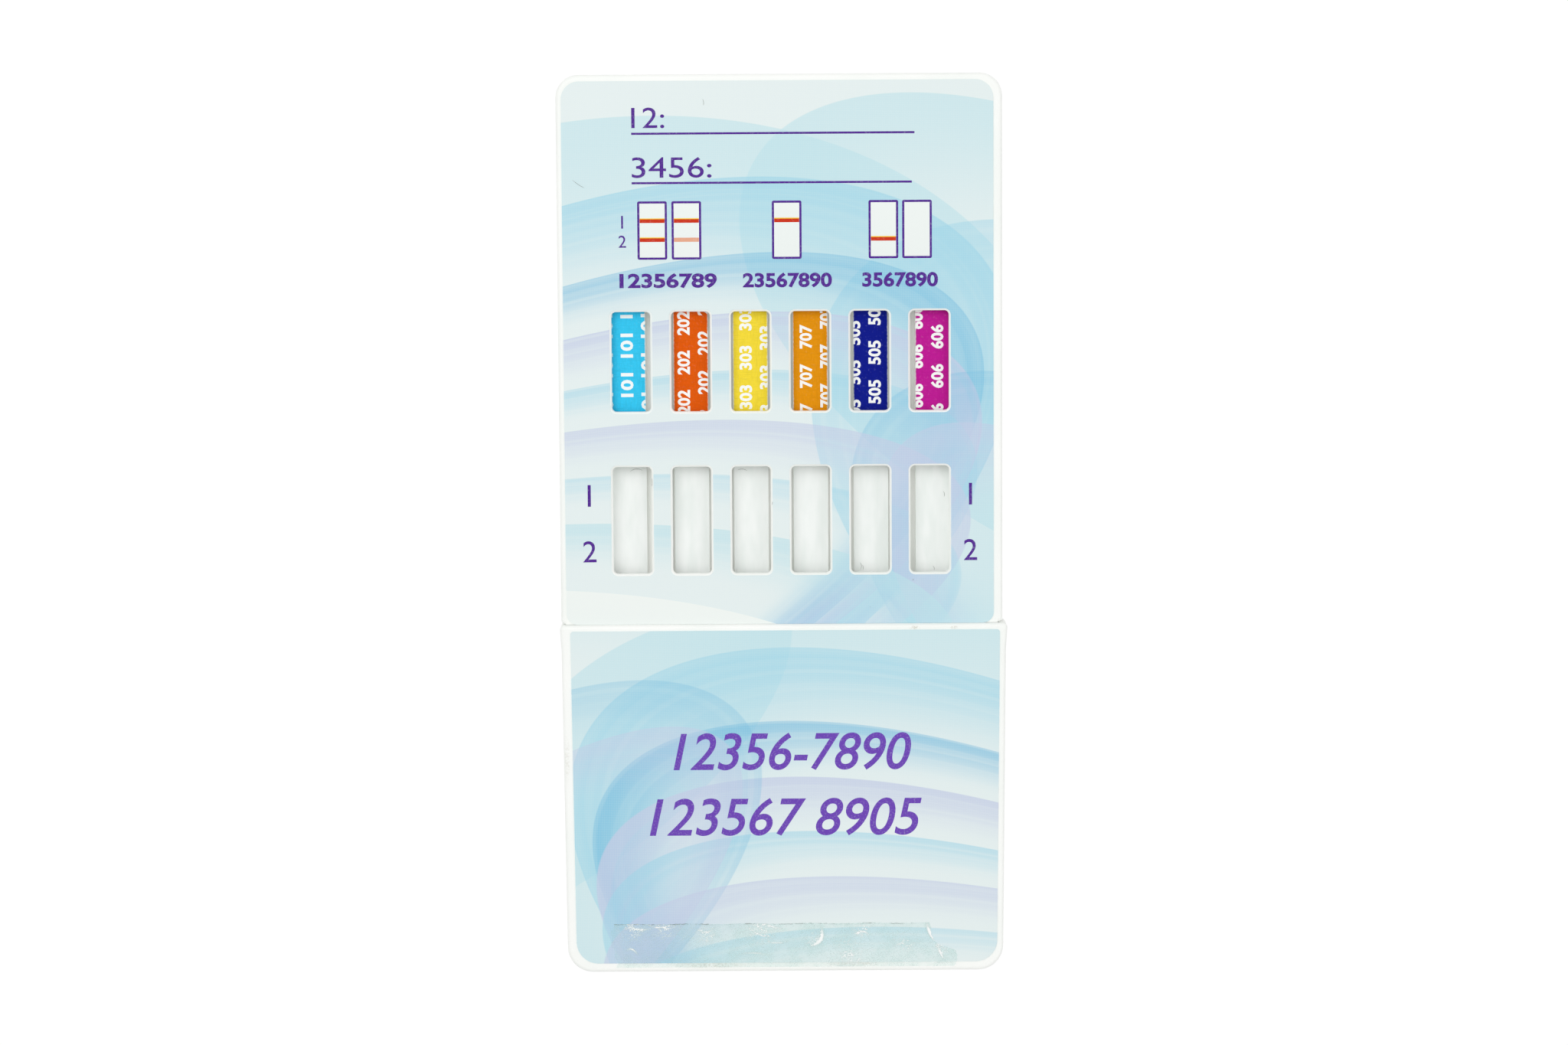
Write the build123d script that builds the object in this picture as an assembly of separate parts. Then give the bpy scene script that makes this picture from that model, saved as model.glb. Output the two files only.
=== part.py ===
from build123d import *

import math
import os

# A flat plastic dip card that lies on its back: X across, +Y to its top end, +Z out of its printed face.
# The origin is on the back, on the card's centre line, halfway along the card with its cap on.
# All sizes are in millimetres.

# Card as seen with the cap on
side_margin = 6.55
corner_radius = 2.9
shoulder_corner_radius = 0.6
front_edge_round = 0.5
back_edge_round = 0.3

# Windows in the front plate
column_count = 6
window_pitch = 7.66
window_width = 5.0
window_corner_radius = 0.6
window_bevel = 0.15
marker_window_from_top = 30.25
marker_window_length = 12.85
window_row_gap = 7.1
result_window_length = 13.85
window_to_mouth = 6.55

# Test strip, from its wick end at the top to its dipping end
strip_width = 4.5
strip_length = 80.0
strip_overhang = 1.25
wick_length = 20.0
membrane_length = 25.0
conjugate_length = 8.0
layer_overlap = 2.0
marker_length = 15.0
backing_thickness = 0.3
membrane_thickness = 0.15
wick_thickness = 0.8
conjugate_thickness = 0.4
sample_thickness = 0.6
marker_thickness = 0.1

# Where each strip lies in its channel: 0 in the middle, 1 against the right wall
strip_leans = (-0.8, -0.07, -0.05, 0.04, 0.24, 0.84)

# Tray
channel_clearance = 0.55
strip_end_clearance = 0.4
strip_headroom = 0.3
outer_wall = 1.6
inner_wall = 1.5
well_depth = 0.8
well_overrun = 0.7
tongue_root_length = 3.0
grip_pocket_rows = 2
parting_groove = 0.12

# Pins that hold the front plate to the tray
pin_rows = 3
pin_radius = 0.9
pin_height = 0.7
pin_boss_length = 3.6
pin_clearance = 0.05

# Front plate
plate_thickness = 1.2
presser_length = 1.6
presser_clearance = 0.05
presser_side_clearance = 0.3

# Narrow tongue of the card, inside the cap
shoulder_width = 1.85
tongue_past_strips = 2.0
tongue_floor = 0.8
tongue_cover_thickness = 0.6
tongue_cover_length = 14.5
tongue_corner_radius = 2.0

# Cap
cap_end_gap = 3.75
cap_wall = 1.0
cap_side_wall = 1.35
cap_clearance = 0.2
cap_side_play = 0.35
cap_draft = 0.55
cap_corner_radius = 3.3
cap_mouth_corner_radius = 0.6
cap_edge_round = 0.5
mouth_lead_in = 0.3
mouth_flare = 0.2
mouth_flare_length = 3.5
seam_gap = 0.01
grip_rib_count = 4
grip_rib_width = 1.2
grip_rib_height = 0.12
grip_rib_setback = 3.0

# Where the cap sits in its side play: 0 in the middle, 1 against the tongue
cap_lean = 0.62

# Labels
label_thickness = 0.12
label_rim_left = 0.7
label_rim_right = 1.14
label_rim_top = 0.83
label_top_radius = 2.3
label_bottom_radius = 1.4
label_window_margin = 0.1
cap_label_rim_left = 1.2
cap_label_rim_right = 0.82
cap_label_rim_top = 0.8
cap_label_rim_end = 1.2
cap_label_top_radius = 0.4
cap_label_end_radius = 2.8

# Remnant of clear tape along the cap's closed end
tape_thickness = 0.08
tape_height = 5.9
tape_rim_left = 6.3
tape_rim_right = 9.7
tape_tab_length = 4.0
tape_end_setback = 0.05

# Distances from the top end of the card
result_window_from_top = marker_window_from_top + marker_window_length + window_row_gap
shown_length = result_window_from_top + result_window_length + window_to_mouth
strip_from_top = marker_window_from_top - strip_overhang
tongue_end_from_top = strip_from_top + strip_length + tongue_past_strips
overall_length = tongue_end_from_top + cap_end_gap + cap_side_wall

# Places along the card, measured from its middle
top_end = overall_length / 2
mouth_y = top_end - shown_length
cap_end = top_end - overall_length
shoulder_y = mouth_y + seam_gap
tongue_end = top_end - tongue_end_from_top
tongue_cover_end = mouth_y - tongue_cover_length

# Places along a strip
strip_top = top_end - strip_from_top
strip_end = strip_top - strip_length
marker_end = strip_top - marker_length
wick_end = strip_top - wick_length
membrane_top = wick_end + layer_overlap
membrane_end = membrane_top - membrane_length
conjugate_top = membrane_end + layer_overlap
conjugate_end = conjugate_top - conjugate_length
sample_top = conjugate_end + layer_overlap

# Heights above the back
tongue_back_z = cap_wall + cap_clearance
strip_z = tongue_back_z + tongue_floor
tray_floor_z = strip_z - well_depth
backing_top_z = strip_z + backing_thickness
membrane_top_z = backing_top_z + membrane_thickness
wick_peak_z = membrane_top_z + wick_thickness
conjugate_peak_z = membrane_top_z + conjugate_thickness
sample_peak_z = backing_top_z + conjugate_thickness + sample_thickness
parting_z = max(wick_peak_z, conjugate_peak_z, sample_peak_z) + strip_headroom
face_z = parting_z + plate_thickness
tongue_top_z = parting_z + tongue_cover_thickness
cap_roof_z = tongue_top_z + cap_clearance
cap_face_z = cap_roof_z + cap_wall

# Widths across the card
channel_width = strip_width + 2 * channel_clearance
channel_field_width = (column_count - 1) * window_pitch + channel_width
card_width = channel_field_width + 2 * side_margin
tongue_width = card_width - 2 * shoulder_width
cap_x = cap_lean * cap_side_play
draft_slope = math.tan(math.radians(cap_draft))


def column_x(column):
    """Centre of a column of windows, counted from the left."""
    return (column - (column_count - 1) / 2) * window_pitch


def bar(width, top, end, low_z, high_z, x=0.0):
    """Box between two places along the card and between two heights."""
    placed = Pos(x, (top + end) / 2, (low_z + high_z) / 2)
    return placed * Box(width, top - end, high_z - low_z)


def slab(outline, low_z, high_z):
    """Flat piece of an outline, between two heights."""
    return Pos(0, 0, low_z) * extrude(outline, high_z - low_z)


def sheet_outline(left, right, top, end, top_radius, end_radius):
    """Rectangle with one corner radius at its top and another at its end."""
    outline = Pos((left + right) / 2, (top + end) / 2) * Rectangle(right - left, top - end)
    outline = fillet(outline.vertices().group_by(Axis.Y)[-1], top_radius)
    return fillet(outline.vertices().group_by(Axis.Y)[0], end_radius)


def card_outline():
    """Outline of the wide part of the card, down to its shoulders."""
    half = card_width / 2
    return sheet_outline(-half, half, top_end, shoulder_y, corner_radius, shoulder_corner_radius)


def tongue_outline(end):
    """Outline of the tongue down to a given end, with its root inside the wide part."""
    half = tongue_width / 2
    root = shoulder_y + tongue_root_length
    return sheet_outline(-half, half, root, end, shoulder_corner_radius, tongue_corner_radius)


def window_rows():
    """Upper and lower edge of each row of windows."""
    marker_top = top_end - marker_window_from_top
    result_top = top_end - result_window_from_top
    return (
        (marker_top, marker_top - marker_window_length),
        (result_top, result_top - result_window_length),
    )


def window_cutters(margin, low_z, high_z):
    """Rounded prisms that cut the windows, each wider by a margin all round."""
    cutters = []
    radius = window_corner_radius + margin
    for column in range(column_count):
        left = column_x(column) - window_width / 2 - margin
        right = column_x(column) + window_width / 2 + margin
        for upper, lower in window_rows():
            outline = sheet_outline(left, right, upper + margin, lower - margin, radius, radius)
            cutters.append(slab(outline, low_z, high_z))
    return cutters


def pin_places():
    """Places of the pins, in rows down both sides of the channels."""
    side = (card_width / 2 - outer_wall + channel_field_width / 2 + inner_wall) / 2
    first = top_end - outer_wall - pin_boss_length / 2
    last = shoulder_y + outer_wall + pin_boss_length / 2
    step = (first - last) / (pin_rows - 1)
    return [(sign * side, first - row * step) for row in range(pin_rows) for sign in (-1, 1)]


def channel_cutters():
    """Space of each strip over its channel floor, open at the dipping end."""
    start = strip_top + strip_end_clearance
    return [
        bar(channel_width, start, tongue_end - 1, strip_z, parting_z + 1, column_x(column))
        for column in range(column_count)
    ]


def well_cutters():
    """Well under each window, so that a strip rests only on the floor between the windows."""
    return [
        bar(channel_width, upper + well_overrun, lower - well_overrun, tray_floor_z,
            parting_z + 1, column_x(column))
        for column in range(column_count)
        for upper, lower in window_rows()
    ]


def grip_cutters():
    """Pockets that hollow the grip above the strips, with ribs between them."""
    top = top_end - outer_wall
    end = strip_top + strip_end_clearance + inner_wall
    length = (top - end - (grip_pocket_rows - 1) * inner_wall) / grip_pocket_rows
    step = length + inner_wall
    return [
        bar(channel_width, top - row * step, top - row * step - length, tray_floor_z,
            parting_z + 1, column_x(column))
        for column in range(column_count)
        for row in range(grip_pocket_rows)
    ]


def side_cutters():
    """Pockets beside the channels, between one pin boss and the next."""
    width = card_width / 2 - outer_wall - channel_field_width / 2 - inner_wall
    places = pin_places()
    return [
        bar(width, upper[1] - pin_boss_length / 2, lower[1] + pin_boss_length / 2,
            tray_floor_z, parting_z + 1, upper[0])
        for upper, lower in zip(places, places[2:])
    ]


def rail_cutters():
    """Grooves that hollow the two side rails of the tongue."""
    wall = inner_wall
    width = (tongue_width - channel_field_width) / 2 - 2 * wall
    x = (tongue_width + channel_field_width) / 4
    top = mouth_y - wall
    end = tongue_end + tongue_corner_radius + wall
    return [bar(width, top, end, strip_z, parting_z + 1, sign * x) for sign in (-1, 1)]


def base_tray():
    """Back half of the card: floor, channels with wells, pins and the tongue."""
    wide = slab(card_outline(), 0, parting_z)
    wide = fillet(wide.faces().sort_by(Axis.Z)[0].edges(), back_edge_round)
    wide = chamfer(wide.faces().sort_by(Axis.Z)[-1].edges(), parting_groove)
    tray = wide + slab(tongue_outline(tongue_end), tongue_back_z, parting_z)
    tray = tray - channel_cutters() - well_cutters() - grip_cutters()
    tray = tray - side_cutters() - rail_cutters()
    pins = [
        Pos(x, y, parting_z + pin_height / 2) * Cylinder(pin_radius, pin_height)
        for x, y in pin_places()
    ]
    return tray + pins


def presser_bars():
    """Bars under the plate that hold the layers of each strip together at their overlaps."""
    width = channel_width - 2 * presser_side_clearance
    seats = (
        (membrane_top - layer_overlap / 2, wick_peak_z),
        (conjugate_top - layer_overlap / 2, conjugate_peak_z),
    )
    return [
        bar(width, y + presser_length / 2, y - presser_length / 2, peak_z + presser_clearance,
            parting_z, column_x(column))
        for column in range(column_count)
        for y, peak_z in seats
    ]


def window_plate():
    """Front half of the card: windows, pin sockets, presser bars and the tongue's cover."""
    plate = slab(card_outline(), parting_z, face_z)
    rim = plate.faces().sort_by(Axis.Z)[-1].edges().sort_by(Axis.Y)[1:]
    plate = fillet(rim, front_edge_round)
    plate = chamfer(plate.faces().sort_by(Axis.Z)[0].edges(), parting_groove)
    plate = plate - window_cutters(0, parting_z - 1, face_z + 1)
    window_rims = plate.faces().sort_by(Axis.Z)[-1].inner_wires()
    plate = chamfer([edge for rim in window_rims for edge in rim.edges()], window_bevel)
    plate = plate + slab(tongue_outline(tongue_cover_end), parting_z, tongue_top_z)
    socket_radius = pin_radius + pin_clearance
    socket_depth = pin_height + pin_clearance
    sockets = [
        Pos(x, y, parting_z + socket_depth / 2) * Cylinder(socket_radius, socket_depth)
        for x, y in pin_places()
    ]
    return plate + presser_bars() - sockets


def face_label():
    """Printed label on the card, with a cut-out round each window."""
    left = label_rim_left - card_width / 2
    right = card_width / 2 - label_rim_right
    outline = sheet_outline(
        left, right, top_end - label_rim_top, shoulder_y, label_top_radius, label_bottom_radius
    )
    label = slab(outline, face_z, face_z + label_thickness)
    return label - window_cutters(window_bevel + label_window_margin, face_z - 1, face_z + 1)


def flat_layer(x, top, end, low_z, thickness):
    """Layer of a strip that lies flat for its whole length."""
    return bar(strip_width, top, end, low_z, low_z + thickness, x)


def stepped_layer(x, top, end, step_y, top_z, end_z, thickness):
    """Layer of a strip that steps up or down where the layer under it ends."""
    outline = Polyline(
        (top, top_z),
        (step_y, top_z),
        (step_y, end_z),
        (end, end_z),
        (end, end_z + thickness),
        (step_y, end_z + thickness),
        (step_y, top_z + thickness),
        (top, top_z + thickness),
        close=True,
    )
    profile = Plane.YZ * make_face(outline)
    return Pos(x, 0, 0) * extrude(profile, strip_width / 2, both=True)


def strip_layers(column):
    """The six layers of one test strip, by name."""
    x = column_x(column) + strip_leans[column] * channel_clearance
    conjugate_z = backing_top_z + conjugate_thickness
    wick_top_z = backing_top_z + wick_thickness
    return {
        "backing": flat_layer(x, strip_top, strip_end, strip_z, backing_thickness),
        "membrane": flat_layer(x, membrane_top, membrane_end, backing_top_z, membrane_thickness),
        "conjugate_pad": stepped_layer(
            x, conjugate_top, conjugate_end, membrane_end, membrane_top_z, backing_top_z,
            conjugate_thickness
        ),
        "sample_pad": stepped_layer(
            x, sample_top, strip_end, conjugate_end, conjugate_z, backing_top_z, sample_thickness
        ),
        "wick_pad": stepped_layer(
            x, strip_top, wick_end, membrane_top, backing_top_z, membrane_top_z, wick_thickness
        ),
        "marker_tape": flat_layer(x, strip_top, marker_end, wick_top_z, marker_thickness),
    }


def cap_half_width(y, inset):
    """Half width of the drafted cap at a place along it, less an inset."""
    at_tongue_end = tongue_width / 2 + cap_side_play + cap_side_wall
    return at_tongue_end + (y - tongue_end) * draft_slope - inset


def cap_outline():
    """Outline of the cap: drafted sides, a slightly flared mouth and round closed corners."""
    knee_y = mouth_y - mouth_flare_length
    mouth = cap_half_width(mouth_y, 0) + mouth_flare
    knee = cap_half_width(knee_y, 0)
    end = cap_half_width(cap_end, 0)
    outline = make_face(Polyline(
        (cap_x - mouth, mouth_y),
        (cap_x - knee, knee_y),
        (cap_x - end, cap_end),
        (cap_x + end, cap_end),
        (cap_x + knee, knee_y),
        (cap_x + mouth, mouth_y),
        close=True,
    ))
    outline = fillet(outline.vertices().group_by(Axis.Y)[-1], cap_mouth_corner_radius)
    return fillet(outline.vertices().group_by(Axis.Y)[0], cap_corner_radius)


def drafted_outline(left_inset, right_inset, top, end, top_radius, end_radius):
    """Outline that keeps a set distance from each drafted side of the cap."""
    outline = make_face(Polyline(
        (cap_x - cap_half_width(top, left_inset), top),
        (cap_x - cap_half_width(end, left_inset), end),
        (cap_x + cap_half_width(end, right_inset), end),
        (cap_x + cap_half_width(top, right_inset), top),
        close=True,
    ))
    outline = fillet(outline.vertices().group_by(Axis.Y)[-1], top_radius)
    return fillet(outline.vertices().group_by(Axis.Y)[0], end_radius)


def grip_ribs():
    """Low ribs along the cap's roof and floor that take up its clearance on the tongue."""
    pitch = channel_field_width / grip_rib_count
    top = mouth_y - grip_rib_setback
    end = cap_end + cap_wall
    ribs = []
    for rib in range(grip_rib_count):
        x = (rib - (grip_rib_count - 1) / 2) * pitch
        ribs.append(bar(grip_rib_width, top, end, cap_wall, cap_wall + grip_rib_height, x))
        ribs.append(bar(grip_rib_width, top, end, cap_roof_z - grip_rib_height, cap_roof_z, x))
    return ribs


def cap_shell():
    """Sleeve that covers the dipping ends, open at its mouth."""
    shell = slab(cap_outline(), 0, cap_face_z)
    edges = shell.faces().sort_by(Axis.Z)[-1].edges() + shell.faces().sort_by(Axis.Z)[0].edges()
    shell = fillet(edges, cap_edge_round)
    inside = drafted_outline(
        cap_side_wall, cap_side_wall, mouth_y + 1, cap_end + cap_side_wall,
        cap_mouth_corner_radius, cap_corner_radius - cap_side_wall
    )
    shell = shell - slab(inside, cap_wall, cap_roof_z)
    mouth_rim = shell.faces().sort_by(Axis.Y)[-1].inner_wires()[0]
    return chamfer(mouth_rim.edges(), mouth_lead_in) + grip_ribs()


def cap_label():
    """Printed label on the cap's front."""
    outline = drafted_outline(
        cap_label_rim_left, cap_label_rim_right, mouth_y - cap_label_rim_top,
        cap_end + cap_label_rim_end, cap_label_top_radius, cap_label_end_radius
    )
    return slab(outline, cap_face_z, cap_face_z + label_thickness)


def tape_outline():
    """Plan of the torn tape: straight upper edge, ragged right end with a round tab."""
    left = cap_x - cap_half_width(cap_end, tape_rim_left)
    right = cap_x + cap_half_width(cap_end, tape_rim_right)
    tab = right + tape_tab_length
    end = cap_end + cap_edge_round + tape_end_setback
    top = end + tape_height
    upper = Polyline(
        (left - 0.5, end),
        (left - 0.8, end + 0.4 * tape_height),
        (left, top),
        (right, top),
        (right - 0.4, top - 0.13 * tape_height),
        (right + 0.5, top - 0.27 * tape_height),
        (right + 0.4, top - 0.39 * tape_height),
        (right + 1.3, top - 0.5 * tape_height),
        (right + 1.7, top - 0.6 * tape_height),
    )
    shoulder = (right + 1.7, top - 0.6 * tape_height)
    corner = ThreePointArc(shoulder, (tab - 0.2, top - 0.76 * tape_height), (tab - 0.8, end))
    return make_face([upper, corner, Line((tab - 0.8, end), (left - 0.5, end))])


def clear_tape():
    """Thin film that lies on the cap's label and steps down onto its rim."""
    label_end = cap_end + cap_label_rim_end
    label_top_z = cap_face_z + label_thickness
    high = bar(card_width, label_end + tape_height, label_end, label_top_z,
               label_top_z + tape_thickness)
    riser = bar(card_width, label_end, label_end - tape_thickness, cap_face_z,
                label_top_z + tape_thickness)
    low = bar(card_width, label_end, cap_end, cap_face_z, cap_face_z + tape_thickness)
    return (high + riser + low) & slab(tape_outline(), cap_face_z - 1, label_top_z + 1)


def build_parts():
    """Every separate piece of the card, by name."""
    pieces = {
        "base_tray": base_tray(),
        "window_plate": window_plate(),
        "face_label": face_label(),
        "cap_shell": cap_shell(),
        "cap_label": cap_label(),
        "clear_tape": clear_tape(),
    }
    for column in range(column_count):
        for layer, solid in strip_layers(column).items():
            pieces[f"strip_{column + 1}_{layer}"] = solid
    return pieces


os.makedirs("parts", exist_ok=True)
for name, piece in build_parts().items():
    export_step(piece, f"parts/{name}.step")
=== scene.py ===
"""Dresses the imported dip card: its print, strips, tape remnant, finishes, studio and camera."""

import logging
import math
from collections.abc import Callable, Mapping, Sequence
from dataclasses import dataclass, field
from enum import Enum
from typing import Any

import bmesh
import bpy
import numpy as np
from mathutils import Euler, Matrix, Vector


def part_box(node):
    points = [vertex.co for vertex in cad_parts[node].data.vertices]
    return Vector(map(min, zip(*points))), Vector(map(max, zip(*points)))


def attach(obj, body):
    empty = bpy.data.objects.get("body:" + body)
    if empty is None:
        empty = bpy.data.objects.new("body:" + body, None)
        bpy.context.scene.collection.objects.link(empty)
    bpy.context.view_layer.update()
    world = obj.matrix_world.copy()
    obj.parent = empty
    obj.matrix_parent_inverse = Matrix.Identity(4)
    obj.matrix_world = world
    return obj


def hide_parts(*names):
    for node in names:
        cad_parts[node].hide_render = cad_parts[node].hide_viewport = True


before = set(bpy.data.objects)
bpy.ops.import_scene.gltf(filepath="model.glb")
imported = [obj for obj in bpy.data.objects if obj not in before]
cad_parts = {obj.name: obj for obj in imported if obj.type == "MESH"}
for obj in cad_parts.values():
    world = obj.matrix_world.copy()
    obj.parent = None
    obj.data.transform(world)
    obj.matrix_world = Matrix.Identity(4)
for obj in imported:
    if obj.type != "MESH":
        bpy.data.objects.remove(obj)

LOG = logging.getLogger("dip_card")
MM = 0.001
FLAT = 1e6

Colour = tuple[float, float, float, float]
Point = tuple[float, float]


def paint(red: float, green: float, blue: float) -> Colour:
    """Works out the linear colour of a paint.

    Args:
        red, green, blue: The paint's screen values, from 0 to 255.

    Returns:
        The linear colour, with an alpha of one.
    """
    shown = np.array([red, green, blue]) / 255
    linear = np.where(shown <= 0.04045, shown / 12.92, ((shown + 0.055) / 1.055) ** 2.4)
    return (*linear.tolist(), 1.0)


WHITE_INK = paint(240, 246, 243)
PURPLE_INK = paint(84, 40, 144)
CAP_INK = paint(110, 70, 180)
DUST = paint(120, 124, 118)


class Value:
    """A number that varies over a surface. Python's operators on it add Math nodes."""

    def __init__(self, graph: "Graph", socket: bpy.types.NodeSocket) -> None:
        """Holds the socket and the graph that it belongs to."""
        self.graph = graph
        self.socket = socket

    def math(self, operation: str, *operands: "Value | float") -> "Value":
        """Adds one Math node.

        Args:
            operation: The node's operation.
            operands: Its inputs in order.

        Returns:
            The node's result.
        """
        return self.graph.value("ShaderNodeMath", {"operation": operation}, dict(enumerate(operands)))

    def __add__(self, other: "Value | float") -> "Value":
        """Sum of the two."""
        return self.math("ADD", self, other)

    def __radd__(self, other: float) -> "Value":
        """Sum with a number on the left."""
        return self.math("ADD", other, self)

    def __sub__(self, other: "Value | float") -> "Value":
        """Difference of the two."""
        return self.math("SUBTRACT", self, other)

    def __rsub__(self, other: float) -> "Value":
        """A number less this value."""
        return self.math("SUBTRACT", other, self)

    def __mul__(self, other: "Value | float") -> "Value":
        """Product of the two."""
        return self.math("MULTIPLY", self, other)

    def __rmul__(self, other: float) -> "Value":
        """Product with a number on the left."""
        return self.math("MULTIPLY", other, self)

    def __truediv__(self, other: "Value | float") -> "Value":
        """Quotient of the two."""
        return self.math("DIVIDE", self, other)

    def __abs__(self) -> "Value":
        """The value without its sign."""
        return self.math("ABSOLUTE", self)

    def cosine(self) -> "Value":
        """Cosine of the value in radians."""
        return self.math("COSINE", self)

    def above(self, limit: float) -> "Value":
        """One where the value is over a limit, and nought elsewhere."""
        return self.math("GREATER_THAN", self, limit)

    def lesser(self, other: "Value | float") -> "Value":
        """The smaller of the two."""
        return self.math("MINIMUM", self, other)

    def greater(self, other: "Value | float") -> "Value":
        """The larger of the two."""
        return self.math("MAXIMUM", self, other)

    def rise(self, low: float, high: float) -> "Value":
        """Adds a smooth step.

        Args:
            low: The value at which the step starts from nought.
            high: The value at which it reaches one, which may be under low for a falling step.

        Returns:
            The step, from nought to one.
        """
        settings = {"interpolation_type": "SMOOTHSTEP"}
        inputs = {"Value": self, "From Min": low, "From Max": high}
        return self.graph.value("ShaderNodeMapRange", settings, inputs)


class Graph:
    """The nodes of one material, floor or world."""

    def __init__(self, tree: bpy.types.NodeTree) -> None:
        """Takes an empty node tree."""
        self.tree = tree
        self.tree.nodes.clear()

    def node(
        self,
        kind: str,
        settings: Mapping[str, Any] | None = None,
        inputs: Mapping[str | int, Any] | None = None,
    ) -> bpy.types.Node:
        """Adds a node of any type.

        Args:
            kind: The node's type.
            settings: Its settings, which are set first.
            inputs: Numbers, colours, values or sockets by the name or index of the input.

        Returns:
            The new node.
        """
        node = self.tree.nodes.new(kind)
        for name, setting in (settings or {}).items():
            setattr(node, name, setting)
        for key, given in (inputs or {}).items():
            if isinstance(given, Value):
                self.tree.links.new(given.socket, node.inputs[key])
            elif isinstance(given, bpy.types.NodeSocket):
                self.tree.links.new(given, node.inputs[key])
            else:
                node.inputs[key].default_value = given
        return node

    def value(
        self,
        kind: str,
        settings: Mapping[str, Any] | None = None,
        inputs: Mapping[str | int, Any] | None = None,
        output: str | int = 0,
    ) -> Value:
        """Adds a node and takes one of its outputs as a value.

        Args:
            kind, settings, inputs: As for node.
            output: The name or index of the output.

        Returns:
            The output as a value.
        """
        return Value(self, self.node(kind, settings, inputs).outputs[output])

    def place(
        self, centre: Sequence[float] = (0, 0, 0), turn: float = 0, stretch: Sequence[float] = (1, 1, 1)
    ) -> bpy.types.NodeSocket:
        """Adds the place on the object, in millimetres.

        Args:
            centre: The pattern's centre.
            turn: The pattern's turn about the vertical, in degrees.
            stretch: How much longer the pattern is along each turned axis.

        Returns:
            The place as a vector.
        """
        scale = [1 / (MM * length) for length in stretch]
        here = self.node("ShaderNodeTexCoord").outputs["Object"]
        centred = self.node("ShaderNodeVectorMath", {"operation": "SUBTRACT"}, {
            0: here, 1: [length * MM for length in centre]
        })
        turned = self.node("ShaderNodeMapping", None, {
            "Vector": centred.outputs[0], "Rotation": (0, 0, -math.radians(turn))
        })
        return self.node("ShaderNodeVectorMath", {"operation": "MULTIPLY"}, {
            0: turned.outputs[0], 1: scale
        }).outputs[0]

    def across(self, place: bpy.types.NodeSocket) -> tuple[Value, Value, Value]:
        """The three coordinates of a place."""
        parts = self.node("ShaderNodeSeparateXYZ", None, {0: place}).outputs
        return Value(self, parts[0]), Value(self, parts[1]), Value(self, parts[2])

    def reach(self, place: bpy.types.NodeSocket) -> Value:
        """How far a place is from its centre."""
        return self.value("ShaderNodeVectorMath", {"operation": "LENGTH"}, {0: place}, "Value")

    def noise(
        self, place: bpy.types.NodeSocket, size: float, detail: float = 2, roughness: float = 0.5
    ) -> Value:
        """Adds soft noise.

        Args:
            place: Where the noise is read, in millimetres.
            size: How large its lumps are, in millimetres.
            detail: How many finer layers it has.
            roughness: How strong the finer layers are.

        Returns:
            The noise, about a half on average.
        """
        inputs = {"Vector": place, "Scale": 1 / size, "Detail": detail, "Roughness": roughness}
        return self.value("ShaderNodeTexNoise", {"noise_dimensions": "3D"}, inputs)

    def specks(self, place: bpy.types.NodeSocket, spacing: float, size: float, share: float) -> Value:
        """Adds scattered round specks.

        Args:
            place: Where the specks are read, in millimetres.
            spacing: The mean distance between places that may hold one.
            size: The largest radius of a speck.
            share: The share of the places that hold one.

        Returns:
            One on a speck and nought between them.
        """
        cells = self.node("ShaderNodeTexVoronoi", {"voronoi_dimensions": "3D"}, {
            "Vector": place, "Scale": 1 / spacing
        })
        chance = self.value("ShaderNodeSeparateColor", None, {0: cells.outputs["Color"]})
        near = Value(self, cells.outputs["Distance"]).rise(size / spacing, 0.4 * size / spacing)
        return near * chance.above(1 - share)

    def blend(self, factor: Value | float, first: Any, second: Any) -> bpy.types.NodeSocket:
        """Mixes two colours.

        Args:
            factor: The share of the second one.
            first, second: Colours or colour sockets.

        Returns:
            The mixed colour.
        """
        return self.node("ShaderNodeMix", {"data_type": "RGBA"}, {
            0: factor, 6: first, 7: second
        }).outputs[2]

    def bump(self, height: Value, depth: float) -> bpy.types.NodeSocket:
        """Adds a relief.

        Args:
            height: The relief's height, from nought to one.
            depth: Its full depth, in millimetres.

        Returns:
            The surface normal with the relief.
        """
        return self.node("ShaderNodeBump", None, {"Height": height, "Distance": depth * MM}).outputs[0]


class Finish:
    """A finish of the card. Each kind of finish describes its own nodes."""

    def describe(self, graph: Graph) -> dict[str, Any]:
        """Adds the finish's nodes.

        Args:
            graph: The nodes of the material.

        Returns:
            The inputs of the surface shader, by name.
        """
        raise NotImplementedError

    def material(self, name: str) -> bpy.types.Material:
        """Makes the material.

        Args:
            name: The material's name.

        Returns:
            The new material.
        """
        material = bpy.data.materials.new(name)
        material.use_nodes = True
        graph = Graph(material.node_tree)
        shader = graph.node("ShaderNodeBsdfPrincipled", None, self.describe(graph))
        graph.node("ShaderNodeOutputMaterial", None, {"Surface": shader.outputs[0]})
        return material


@dataclass(frozen=True)
class Smudge:
    """A blot of dirt on the plastic: its middle and half lengths, in millimetres."""

    middle: Point
    reach: Point
    strength: float
    turn: float = 0.0


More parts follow.
